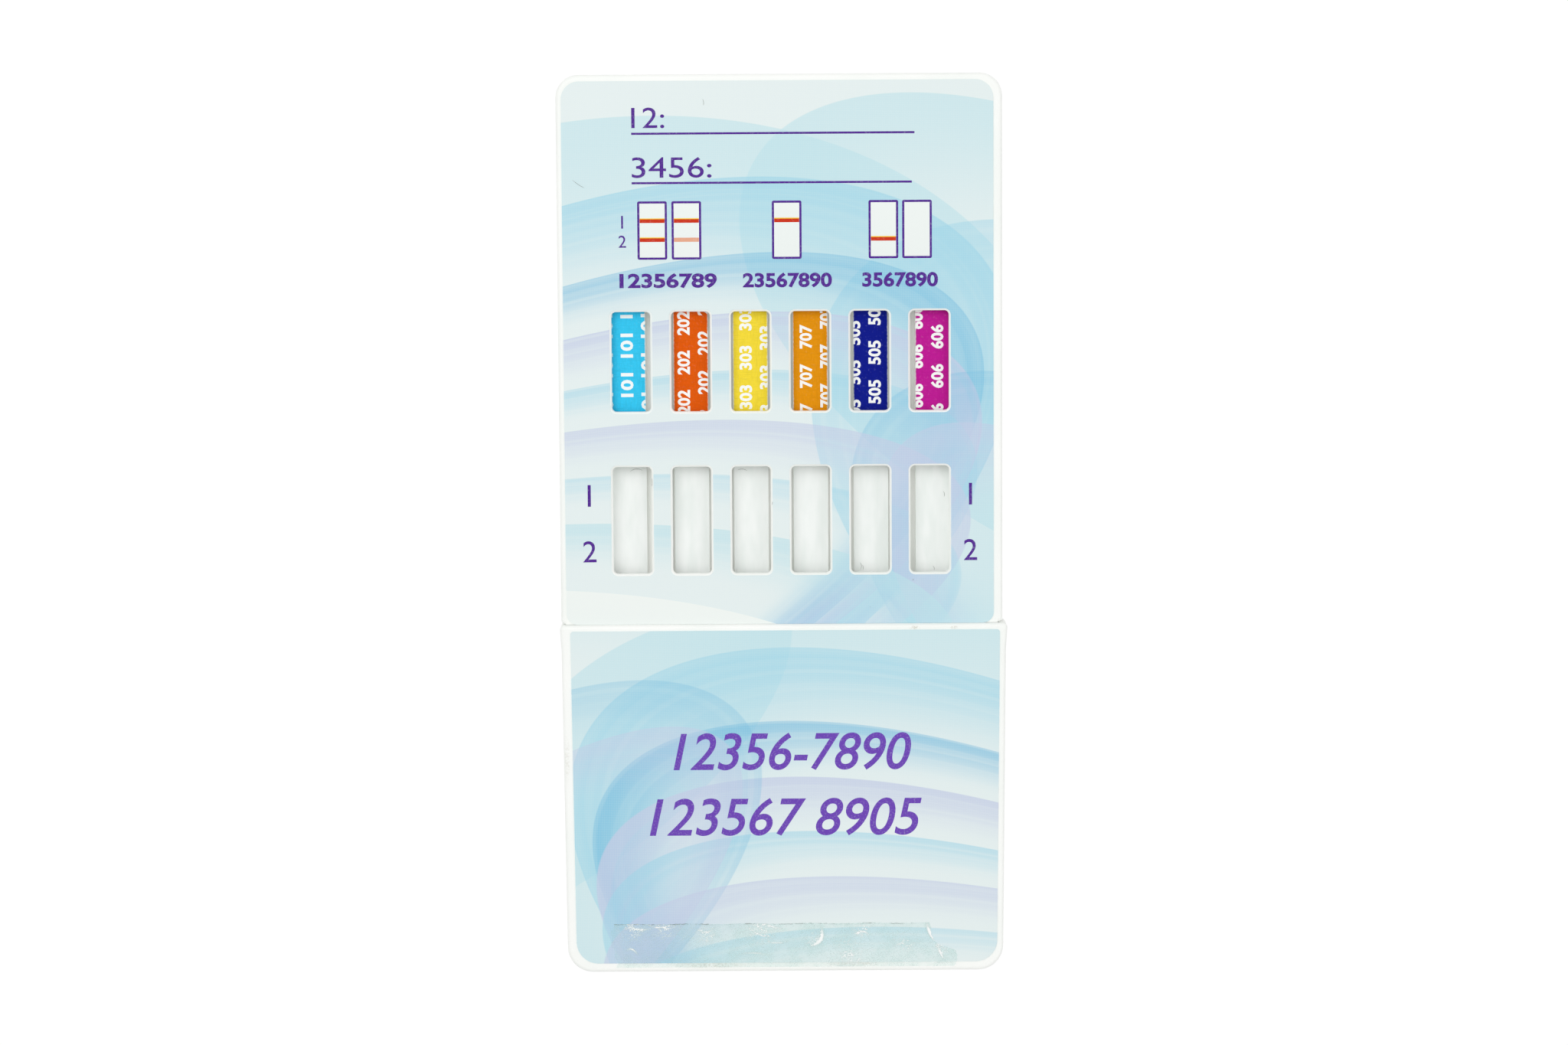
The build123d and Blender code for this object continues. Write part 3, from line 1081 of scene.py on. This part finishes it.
@dataclass
class FacePrint:
    """The label on the card: its pattern, ruled lines, reading guide and plain figures."""

    ink_height: float = 0.012
    line_width: float = 0.27
    frame_width: float = 0.3
    ruled_lines: tuple[tuple[float, float, float], ...] = ((-18.85, 17.3, 50.53), (-18.85, 16.95, 44.25))
    heading_feet: tuple[float, float] = (51.22, 44.9)
    heading_height: float = 2.63
    heading_left: float = -18.82
    heading_rights: tuple[float, float] = (-14.62, -8.63)
    headings: tuple[str, str] = ("12:", "3456:")
    guide_centres: tuple[float, ...] = (-16.28, -11.9, 0.93, 13.29, 17.59)
    guide_width: float = 3.8
    guide_low: float = 34.48
    guide_high: float = 41.93
    upper_bar: float = 39.43
    lower_bar: float = 37.01
    bar_width: float = 0.53
    bars: tuple[tuple[int, bool], ...] = ((0, True), (0, False), (1, True), (2, True), (3, False))
    faint_guide: int = 1
    captions: tuple[tuple[str, float, float], ...] = (
        ("12356789", -20.53, -8.06), ("23567890", -4.73, 6.68), ("3567890", 10.56, 20.26),
    )
    caption_low: float = 30.82
    caption_high: float = 32.74
    guide_marks: tuple[tuple[str, float, float], ...] = (("1", 38.48, 40.1), ("2", 36.04, 37.58))
    guide_mark_x: float = -20.12
    side_marks: tuple[tuple[str, float, float], ...] = (("1", 2.78, 5.58), ("2", -4.42, -1.68))
    side_mark_places: tuple[float, float] = (-24.7, 24.38)
    base: float = field(init=False)

    def __post_init__(self) -> None:
        """Takes the height of the label's face from the frame."""
        self.base = float(box_mm("face_label")[1][2])

    def add(self, name: str, surfaces: Sequence[Surface], ink: bpy.types.Material) -> None:
        """Adds one printed piece that rides on the card.

        Args:
            name: The piece's name.
            surfaces: Its meshes.
            ink: Its finish.
        """
        joined(surfaces).build(name, ink, "card", "card_label")

    def guide_boxes(self, radius: float, steps: int) -> list[np.ndarray]:
        """Outlines of the reading guide's boxes, along the middle of their frames.

        Args:
            radius: The corner radius.
            steps: How many points each corner has.

        Returns:
            One outline for each box.
        """
        inset = self.frame_width / 2
        half = self.guide_width / 2 - inset
        low, high = self.guide_low + inset, self.guide_high - inset
        return [rounded_outline(x - half, x + half, low, high, radius, steps) for x in self.guide_centres]

    def guide_frames(self) -> list[Surface]:
        """Frames of the boxes, as closed lines."""
        return [
            bead(outline, self.frame_width, self.base, self.ink_height, True)
            for outline in self.guide_boxes(0.06, 3)
        ]

    def guide_fields(self) -> list[Surface]:
        """White fields inside the boxes."""
        return [patch(outline, self.base, self.ink_height / 2) for outline in self.guide_boxes(0.05, 2)]

    def guide_bar(self, guide: int, y: float, width: float, lift: float) -> Surface:
        """A reading bar across one box.

        Args:
            guide: The box's number from the left.
            y: The bar's middle.
            width: The bar's width.
            lift: How far its foot is over the label, in ink heights.

        Returns:
            The bar.
        """
        half = self.guide_width / 2 - self.frame_width
        x = self.guide_centres[guide]
        outline = rounded_outline(x - half, x + half, y - width / 2, y + width / 2, 0.03, 2)
        return patch(outline, self.base + lift * self.ink_height, self.ink_height / 4)

    def line(self, left: float, right: float, y: float) -> Surface:
        """A ruled line."""
        path = np.column_stack([np.linspace(left, right, 5), np.full(5, y)])
        return bead(path, self.line_width, self.base, self.ink_height, False)

    def figures(self) -> list[Surface]:
        """All the plain figures in purple ink."""
        rows = []
        for text, right, foot in zip(self.headings, self.heading_rights, self.heading_feet):
            rows.append(Figures(text).placed(
                (self.heading_left, foot, self.base), (right - self.heading_left, 0),
                (0, self.heading_height), self.ink_height,
            ))
        for text, left, right in self.captions:
            rows.append(Figures(text, Stroke.BOLD).placed(
                (left, self.caption_low, self.base), (right - left, 0),
                (0, self.caption_high - self.caption_low), self.ink_height,
            ))
        for text, low, high in self.guide_marks:
            rows.append(Figures(text).centred(self.guide_mark_x, low, high, self.base, self.ink_height))
        for text, low, high in self.side_marks:
            for x in self.side_mark_places:
                rows.append(Figures(text).centred(x, low, high, self.base, self.ink_height))
        return rows

    def dress(self) -> None:
        """Finishes the label and adds its print."""
        dress_node("face_label", PrintedSheet(FACE_VEILS).material("card_label"))
        purple = Ink(PURPLE_INK).material("purple_ink")
        red = Ink(paint(205, 52, 20), 0.08).material("red_ink")
        yellow = Ink(paint(250, 205, 60), 0.1).material("yellow_ink")
        faint = Ink(paint(232, 170, 140), 0.3).material("faint_ink")
        white = Ink(WHITE_INK, 0.0).material("white_ink")
        self.add("ruled_lines", [self.line(*line) for line in self.ruled_lines], purple)
        self.add("guide_fields", self.guide_fields(), white)
        self.add("guide_frames", self.guide_frames(), purple)
        heights = {True: self.upper_bar, False: self.lower_bar}
        edge = self.bar_width / 2
        self.add("guide_bars", [
            self.guide_bar(guide, heights[upper], self.bar_width, 0.5) for guide, upper in self.bars
        ], red)
        self.add("guide_bar_edges", [
            self.guide_bar(guide, heights[upper] + edge, 0.12, 0.75) for guide, upper in self.bars
        ], yellow)
        self.add("faint_bar", [self.guide_bar(self.faint_guide, self.lower_bar, self.bar_width, 0.5)], faint)
        self.add("face_figures", self.figures(), purple)


@dataclass
class CapPrint:
    """The label on the cap: its pattern and two rows of large slanted figures."""

    ink_height: float = 0.012
    slant: float = 0.22
    rows: tuple[tuple[str, float, float, float, float], ...] = (
        ("12356-7890", -14.13, 16.62, -31.56, -26.66),
        ("123567 8905", -17.3, 17.97, -40.15, -35.2),
    )

    def dress(self) -> None:
        """Finishes the cap's label and adds its print."""
        dress_node("cap_label", PrintedSheet(CAP_VEILS).material("cap_label"))
        base = float(box_mm("cap_label")[1][2])
        surfaces = [
            Figures(text, Stroke.SOLID, self.slant, smoothness=8).placed(
                (left, low, base), (right - left, 0), (0, high - low), self.ink_height
            )
            for text, left, right, low, high in self.rows
        ]
        ink = Ink(CAP_INK, 0.2).material("cap_ink")
        joined(surfaces).build("cap_figures", ink, "cap", "cap_label")


def strip_section(width: float, thickness: float, edge: float, columns: int) -> np.ndarray:
    """Cross-section of a strip's layer, anticlockwise seen from its lower end.

    The long sides have evenly spaced points, and each corner is a quarter circle.

    Args:
        width: The layer's width.
        thickness: Its thickness.
        edge: The radius of its long edges.
        columns: How many points each long side has between its corners.

    Returns:
        The points, as an array of places across and heights over the underside.
    """
    half = width / 2
    corner = rounded_outline(-half, half, 0, thickness, edge, 4)
    inner = np.linspace(half - edge, edge - half, columns + 2)[1:-1]
    upper = np.column_stack([inner, np.full(columns, thickness)])
    lower = np.column_stack([-inner, np.zeros(columns)])
    return np.concatenate([corner[:4], upper, corner[4:12], lower, corner[12:]])


@dataclass
class Layer:
    """One layer of a test strip: its CAD node, how it steps, and how rough its surface is."""

    node: str
    edge: float
    relief: float = 0.0
    columns: int = 4
    spacing: float = 1.0
    step: float | None = None
    step_height: float = 0.0
    rises: bool = False
    wander: float = 0.0
    ramp: float = 0.7

    def surface(self) -> Surface:
        """Works out the layer.

        A ring of its section stands at each station along the strip. Its underside falls or
        rises by the step's height along a smooth S past the step. The upper face dips by up
        to the relief, as a product of sines of unlike wavelengths, and the long edges wander
        by a slow sine.

        Returns:
            The closed layer.
        """
        low, high = box_mm(self.node)
        x = (low[0] + high[0]) / 2
        thickness = high[2] - low[2] - abs(self.step_height)
        section = strip_section(high[0] - low[0] - 2 * self.wander, thickness, self.edge, self.columns)
        stations = np.linspace(high[1], low[1], max(3, round((high[1] - low[1]) / self.spacing)))
        lift = np.zeros(len(stations))
        if self.step is not None:
            past = (self.step - stations) / self.ramp
            share = smooth(past + 1 if self.rises else past)
            lift = self.step_height * (share if self.rises else 1 - share)
        across = np.broadcast_to(section[None, :, 0], (len(stations), len(section)))
        along = np.broadcast_to(stations[:, None], across.shape)
        over = np.broadcast_to(section[None, :, 1], across.shape)
        lumps = np.sin(3.1 * across + 1.7 * along) * np.sin(2.3 * along - 4.3 * across + x)
        lumps = (lumps + np.sin(7.9 * across - 6.1 * along + x)) / 2
        dip = self.relief * (0.5 + 0.5 * lumps) * (over / thickness)
        shift = self.wander * np.sin(0.9 * along + x)
        rings = np.stack([x + across + shift, along, low[2] + over + lift[:, None] - dip], axis=-1)
        return swept(rings)


@dataclass
class TestStrip:
    """One of the six strips: backing, three pads, membrane and a coloured tape with figures."""

    column: int
    tape_name: str
    colour: Colour
    figures: str
    first_column: float
    first_row: float
    column_pitch: float = 2.62
    row_pitch: float = 5.07
    figure_height: float = 1.64
    row_length: float = 3.1
    ink_height: float = 0.008
    tape_wander: float = 0.02

    def name(self, layer: str) -> str:
        """Name of a layer's CAD node."""
        return f"strip_{self.column}_{layer}"

    def layers(self) -> dict[str, Layer]:
        """The strip's six layers, by name, with their steps read from their neighbours."""
        membrane_low, membrane_high = box_mm(self.name("membrane"))
        conjugate_low, conjugate_high = box_mm(self.name("conjugate_pad"))
        backing_top = box_mm(self.name("backing"))[1][2]
        membrane_rise = membrane_high[2] - backing_top
        conjugate_depth = conjugate_high[2] - membrane_high[2]
        return {
            "backing": Layer(self.name("backing"), 0.05, spacing=8),
            "membrane": Layer(self.name("membrane"), 0.04, relief=0.012, columns=10, spacing=0.8),
            "conjugate_pad": Layer(
                self.name("conjugate_pad"), 0.12, 0.05, 14, 0.35,
                step=membrane_low[1], step_height=membrane_rise,
            ),
            "sample_pad": Layer(
                self.name("sample_pad"), 0.2, 0.09, 18, 0.35,
                step=conjugate_low[1], step_height=conjugate_depth,
            ),
            "wick_pad": Layer(
                self.name("wick_pad"), 0.22, 0.05, 14, 0.5,
                step=membrane_high[1], step_height=membrane_rise, rises=True,
            ),
            "marker_tape": Layer(
                self.name("marker_tape"), 0.03, spacing=0.5, wander=self.tape_wander
            ),
        }

    def tape_figures(self) -> Surface:
        """White figures that run up the tape in staggered columns, cut off at its edges.

        One row of figures is repeated by adding each column's and each row's shift to its
        points. Neighbouring columns are half a row pitch apart along the tape.

        Returns:
            The figures.
        """
        low, high = box_mm(self.name("marker_tape"))
        middle = (low[0] + high[0]) / 2 + self.first_column
        foot = middle + self.figure_height / 2
        start = high[1] - self.first_row - self.row_length / 2
        unit = Figures(self.figures, Stroke.CONDENSED, smoothness=3).placed(
            (foot, start, high[2]), (0, self.row_length), (-self.figure_height, 0), self.ink_height
        )
        copies = []
        for column in range(-2, 3):
            for row in range(-2, 4):
                along = row * self.row_pitch + (column % 2) * self.row_pitch / 2
                shift = np.array([column * self.column_pitch, -along, 0])
                copies.append(Surface(unit.vertices + shift, unit.faces))
        wander = self.tape_wander
        whole = joined(copies)
        return clipped(whole, (low[0] + wander, low[1]), (high[0] - wander, high[1]))

    def dress(self, finishes: Mapping[str, bpy.types.Material]) -> None:
        """Adds the strip's layers in place of their CAD nodes, and the tape's figures.

        Args:
            finishes: The finish of each layer but the tape, by the layer's name.
        """
        low, high = box_mm(self.name("marker_tape"))
        tape = PaperTape(self.colour, (low[0] + high[0]) / 2, (high[0] - low[0]) / 2)
        tape_finish = tape.material(f"paper_tape_{self.tape_name}")
        slots = {
            "backing": "backing_card", "membrane": "membrane", "conjugate_pad": "glass_fibre_pad",
            "sample_pad": "cellulose_pad", "wick_pad": "cellulose_pad",
            "marker_tape": f"marker_{self.tape_name}",
        }
        for layer, shape in self.layers().items():
            finish = tape_finish if layer == "marker_tape" else finishes[layer]
            piece = shape.surface().build(f"{self.name(layer)}_made", finish, "card", slots[layer])
            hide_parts(self.name(layer))
        self.tape_figures().build(
            self.name("marker_figures"), finishes["figures"], "card", slots["marker_tape"]
        )


@dataclass
class StripSet:
    """The six test strips, side by side."""

    strips: tuple[TestStrip, ...] = (
        TestStrip(1, "blue", paint(56, 204, 246), "101", -0.15, 5.64),
        TestStrip(2, "orange", paint(229, 93, 0), "202", -0.91, 2.79),
        TestStrip(3, "yellow", paint(249, 223, 60), "303", -0.6, 2.22),
        TestStrip(4, "amber", paint(232, 150, 4), "707", -0.55, 4.6),
        TestStrip(5, "navy", paint(4, 22, 140), "505", 0.52, 1.64),
        TestStrip(6, "magenta", paint(194, 24, 151), "606", 0.58, 4.71),
    )

    def dress(self) -> None:
        """Adds all the strips."""
        pad = FibrePad().material("cellulose_pad")
        glass = FibrePad(paint(238, 226, 220), paint(222, 206, 200), 0.06)
        glass_pad = glass.material("glass_fibre_pad")
        finishes = {
            "backing": BackingCard().material("backing_card"),
            "membrane": Membrane().material("membrane"),
            "conjugate_pad": glass_pad,
            "sample_pad": pad,
            "wick_pad": pad,
            "figures": Ink(paint(250, 252, 250), 0.0, 0.5).material("tape_figures"),
        }
        for strip in self.strips:
            strip.dress(finishes)


@dataclass(frozen=True)
class Crease:
    """A white crease of the film: where it starts, bends and ends, and its half width."""

    start: Point
    bend: Point
    end: Point
    width: float
    strength: float = 0.8


@dataclass
class FilmRemnant:
    """What is left of a clear tape along the cap's closed end: creased, with torn ends."""

    columns: int = 300
    rows: int = 44
    film: float = 0.018
    ripple: float = 0.045
    creases: tuple[Crease, ...] = (
        Crease((4.9, -52.3), (5.4, -54.3), (3.3, -54.7), 0.22, 1.0),
        Crease((-11.3, -52.4), (-10.2, -53.2), (-9.1, -52.3), 0.09),
        Crease((-8.6, -51.6), (-7.8, -51.2), (-7.0, -51.7), 0.08),
        Crease((-5.0, -51.4), (-3.6, -53.8), (-1.6, -53.2), 0.07),
        Crease((-4.2, -51.3), (-2.2, -53.8), (-0.5, -51.9), 0.06),
        Crease((-3.4, -51.6), (-1.5, -52.1), (0.4, -52.6), 0.08),
        Crease((-2.6, -53.9), (-1.0, -54.6), (0.6, -54.0), 0.07),
        Crease((8.2, -51.9), (9.6, -51.2), (10.8, -51.7), 0.09),
        Crease((9.2, -53.1), (10.4, -52.5), (11.2, -53.3), 0.12),
        Crease((12.2, -51.8), (12.6, -51.2), (13.2, -51.5), 0.09),
        Crease((-20.5, -51.5), (-19.4, -52.9), (-17.0, -52.2), 0.09),
        Crease((-17.9, -51.6), (-16.2, -52.6), (-14.8, -51.8), 0.07),
        Crease((-20.5, -55.2), (-19.7, -54.5), (-19.0, -55.8), 0.11),
        Crease((18.5, -51.3), (18.9, -53.9), (20.5, -54.3), 0.24, 1.0),
        Crease((19.9, -53.8), (20.0, -55.4), (20.9, -56.6), 0.16, 1.0),
        Crease((20.6, -54.5), (21.9, -54.2), (22.3, -55.6), 0.16),
        Crease((-6.4, -55.9), (-4.0, -55.2), (-1.5, -56.0), 0.1, 0.5),
    )
    scuffs: tuple[tuple[float, float, float], ...] = (
        (-19.6, -52.4, 1.3), (-15.4, -52.0, 1.6), (-10.2, -53.2, 1.3), (-3.0, -52.4, 2.0),
        (3.9, -53.9, 1.1), (10.2, -52.5, 1.4), (20.6, -54.8, 1.4), (8.8, -56.0, 2.2), (15.6, -54.6, 1.5),
    )

    def outline(self, share: np.ndarray) -> tuple[np.ndarray, np.ndarray]:
        """Left and right end of the film at a share of the way down from its upper edge.

        The left end wanders by two sines. The right end leans outward by a smooth S into a
        tab, whose side is a round arc, and both have a fine torn edge of short sines.

        Args:
            share: The shares, from nought at the upper edge to one at the lower one.

        Returns:
            The two ends' places across.
        """
        low, high = box_mm("clear_tape")
        left = low[0] + 0.5 - 0.35 * np.sin(5 * share) + 0.14 * np.sin(23 * share)
        lean = smooth((share - 0.42) / 0.22)
        body = high[0] - 3.8 + 1.6 * share + 0.1 * np.sin(17 * share)
        tab = high[0] - 1.4 + 1.3 * np.sqrt(np.clip(1 - ((share - 0.8) / 0.27) ** 2, 0, 1))
        right = body * (1 - lean) + tab * lean
        return left + 0.05 * np.sin(71 * share), right + 0.04 * np.sin(61 * share)

    def surface(self) -> Surface:
        """Works out the film.

        Column u across and row v down give a point between the two ends. Its height is the
        label's face, falling by a smooth S onto the cap's rim, plus a ripple that is the
        square of a sum of sines, so that its ridges are narrow. The underside is the same
        face lower by the film's thickness.

        Returns:
            The closed film, with its maps of how creased and scuffed each point is, how near
            the upper edge it stands, and whether it is on the outer face.
        """
        low, high = box_mm("clear_tape")
        label_low, label_high = box_mm("cap_label")
        share = np.linspace(0, 1, self.rows)[None, :]
        left, right = self.outline(share)
        across = np.linspace(0, 1, self.columns)[:, None]
        fray = 0.03 * np.sin(310 * across) * np.sin(57 * across + 1) + 0.04 * np.sin(33 * across)
        x = left + (right - left) * across
        y = high[1] - 0.1 - (high[1] - low[1] - 0.14) * share + fray * (1 - share) ** 3
        fall = smooth((label_low[1] + 0.05 - y) / 0.3)
        ground = label_high[2] - fall * (label_high[2] - low[2]) + self.film + 0.004
        waves = np.sin(1.9 * x + 2.3 * y) + np.sin(4.7 * x - 1.3 * y + 2) + np.sin(2.9 * y + 0.8 * x)
        ripple = np.clip(waves / 3, 0, 1) ** 2 * self.ripple
        crease = self.crease(x, y)
        height = np.minimum(ground + ripple * (1 - fall) + crease * 0.02, high[2] - 0.002)
        top = np.stack([x, y, height], axis=-1)
        skin = sheet(top, top - np.array([0, 0, self.film]))
        near = np.broadcast_to(np.clip(1 - share * (high[1] - low[1]) / 0.16, 0, 1), x.shape)
        maps = {"crease": crease, "scuffed": self.scuffed(x, y), "edge": near}
        skin.attributes = {name: np.tile(values.ravel(), 2) for name, values in maps.items()}
        skin.attributes["outer"] = np.repeat([1.0, 0.0], x.size)
        return skin

    def crease(self, x: np.ndarray, y: np.ndarray) -> np.ndarray:
        """How creased the film is at a place.

        Each crease falls off as a bell with the distance to the nearest of the points along
        its curve, and its ends fade by a sine.

        Args:
            x, y: The places.

        Returns:
            The crease at each place, from nought to one.
        """
        total = np.zeros(x.shape)
        for crease in self.creases:
            points = bow(crease.start, crease.bend, crease.end, 60)
            away = np.hypot(x[..., None] - points[:, 0], y[..., None] - points[:, 1])
            fade = np.sin(np.linspace(0.15, math.pi - 0.15, len(points)))
            bells = np.exp(-(away / crease.width) ** 2) * fade
            total = np.maximum(total, bells.max(axis=-1) * crease.strength)
        return total

    def scuffed(self, x: np.ndarray, y: np.ndarray) -> np.ndarray:
        """How scuffed the film is at a place: the highest of the bells round the scuffs' middles."""
        middles = np.array(self.scuffs)
        away = np.hypot(x[..., None] - middles[:, 0], y[..., None] - middles[:, 1])
        return np.exp(-(away / middles[:, 2]) ** 2).max(axis=-1)

    def dress(self) -> None:
        """Adds the film in place of its CAD node."""
        finish = ClearFilm().material("clear_film")
        piece = self.surface().build("film_remnant", finish, "cap", "clear_film")
        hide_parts("clear_tape")


@dataclass
class StrayFibres:
    """Hairs and paper fibres that lie on the membranes and by the windows."""

    radius: float = 0.022
    on_membrane: tuple[tuple[Point, Point, Point], ...] = (
        ((-19.5, 7.1), (-18.7, 7.7), (-17.9, 7.2)),
        ((10.15, -4.9), (10.5, -5.2), (10.25, -5.85)),
        ((10.5, -5.2), (10.62, -5.5), (10.55, -5.9)),
        ((-5.6, 7.2), (-4.9, 7.5), (-4.4, 7.1)),
        ((19.6, -5.4), (19.9, -5.7), (19.75, -5.95)),
        ((21.0, 4.3), (21.2, 4.0), (21.1, 3.6)),
    )
    on_label: tuple[tuple[Point, Point, Point], ...] = (
        ((-16.62, 6.4), (-16.55, 5.9), (-16.63, 5.4)),
        ((-1.15, 3.3), (-1.05, 3.1), (-1.2, 2.9)),
        ((-26.4, 44.7), (-25.6, 44.0), (-24.9, 43.7)),
        ((-9.7, 54.9), (-9.5, 54.5), (-9.6, 54.1)),
    )

    def fibres(self, ground: float, lines: Sequence[tuple[Point, Point, Point]]) -> list[Surface]:
        """Fibres that lie on a flat face.

        Args:
            ground: The height of the face.
            lines: The start, bend and end of each fibre.

        Returns:
            The fibres.
        """
        level = ground + self.radius
        return [tube(bow(*[(*point, level) for point in line]), self.radius) for line in lines]

    def dress(self) -> None:
        """Adds the fibres."""
        finish = Fibre().material("stray_fibre")
        membrane = float(box_mm("strip_1_membrane")[1][2])
        label = float(box_mm("face_label")[1][2])
        surfaces = self.fibres(membrane, self.on_membrane) + self.fibres(label, self.on_label)
        joined(surfaces).build("stray_fibres", finish, "card", "membrane")


@dataclass
class Studio:
    """The pale floor, the soft lamps and the camera."""

    lens: float = 89.13
    sensor: float = 36.0
    distance: float = 0.5
    target: tuple[float, float, float] = (0.000352, 0.0006, 0.005)
    tilt: float = -5.535
    roll: float = -0.349
    world_strength: float = 0.62
    floor_half: float = 2.5
    floor_colour: Colour = paint(236, 237, 236)
    floor_depth: float = 5e-5
    floor_shadow: float = 0.1
    lamps: tuple[tuple[str, tuple[float, float, float], float, float], ...] = (
        ("key_lamp", (-0.35, 0.45, 1.1), 1.0, 5.4),
        ("fill_lamp", (0.75, -0.3, 0.8), 0.9, 1.7),
    )

    def seen(self, graph: Graph) -> Value:
        """One for the camera's rays, mirrored rays and rays through glass, nought for light."""
        path = graph.node("ShaderNodeLightPath").outputs
        camera = Value(graph, path["Is Camera Ray"])
        glossy = Value(graph, path["Is Glossy Ray"])
        through = Value(graph, path["Is Transmission Ray"])
        return camera.greater(glossy).greater(through)

    def make_world(self) -> None:
        """Makes the world: an even light, seen as white."""
        world = bpy.data.worlds.new("studio")
        world.use_nodes = True
        bpy.context.scene.world = world
        graph = Graph(world.node_tree)
        strength = self.seen(graph) * (1 - self.world_strength) + self.world_strength
        sky = graph.node("ShaderNodeBackground", None, {"Color": (1, 1, 1, 1), "Strength": strength})
        graph.node("ShaderNodeOutputWorld", None, {"Surface": sky.outputs[0]})

    def make_floor(self) -> None:
        """Makes the floor: pale in its light, seen as white with a faint shadow of the card."""
        material = bpy.data.materials.new("floor")
        material.use_nodes = True
        graph = Graph(material.node_tree)
        matt = graph.node("ShaderNodeBsdfDiffuse", None, {"Color": self.floor_colour})
        dim = graph.node("ShaderNodeBsdfDiffuse", None, {"Color": (*[self.floor_shadow] * 3, 1)})
        glow = graph.node("ShaderNodeEmission", None, {"Strength": 1.02 - 0.9 * self.floor_shadow})
        shown = graph.node("ShaderNodeAddShader", None, {0: dim.outputs[0], 1: glow.outputs[0]})
        mixed = graph.node("ShaderNodeMixShader", None, {
            0: self.seen(graph), 1: matt.outputs[0], 2: shown.outputs[0]
        })
        graph.node("ShaderNodeOutputMaterial", None, {"Surface": mixed.outputs[0]})
        half = self.floor_half
        mesh = bpy.data.meshes.new("floor")
        signs = ((-1, -1), (1, -1), (1, 1), (-1, 1))
        corners = [(x * half, y * half, -self.floor_depth) for x, y in signs]
        mesh.from_pydata(corners, [], [(0, 1, 2, 3)])
        mesh.materials.append(material)
        floor = bpy.data.objects.new("floor", mesh)
        bpy.context.scene.collection.objects.link(floor)

    def make_lamps(self) -> None:
        """Hangs the lamps, each turned to the card's middle."""
        for name, place, size, power in self.lamps:
            light = bpy.data.lights.new(name, "AREA")
            light.shape = "DISK"
            light.size = size
            light.energy = power
            lamp = bpy.data.objects.new(name, light)
            lamp.location = place
            lamp.rotation_euler = Vector(place).to_track_quat("Z", "Y").to_euler()
            bpy.context.scene.collection.objects.link(lamp)

    def make_camera(self) -> None:
        """Sets up the camera at the photograph's angle and distance."""
        camera = bpy.data.cameras.new("camera")
        camera.sensor_width = self.sensor
        camera.lens = self.lens
        holder = bpy.data.objects.new("camera", camera)
        turn = Euler((math.radians(self.tilt), 0, math.radians(self.roll)))
        holder.rotation_euler = turn
        holder.location = Vector(self.target) + turn.to_matrix() @ Vector((0, 0, self.distance))
        bpy.context.scene.collection.objects.link(holder)
        bpy.context.scene.camera = holder

    def set_up(self) -> None:
        """Makes the whole studio."""
        bpy.context.scene.view_settings.view_transform = "Standard"
        self.make_camera()
        self.make_world()
        self.make_floor()
        self.make_lamps()


def main() -> None:
    """Builds the studio and every part of the dressed card."""
    logging.basicConfig(level=logging.INFO, format="%(name)s: %(message)s")
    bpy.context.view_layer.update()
    steps: tuple[Callable[[], None], ...] = (
        Studio().set_up, Mouldings().dress, FacePrint().dress, CapPrint().dress,
        StripSet().dress, FilmRemnant().dress, StrayFibres().dress,
    )
    for step in steps:
        step()


if __name__ == "__main__":
    main()
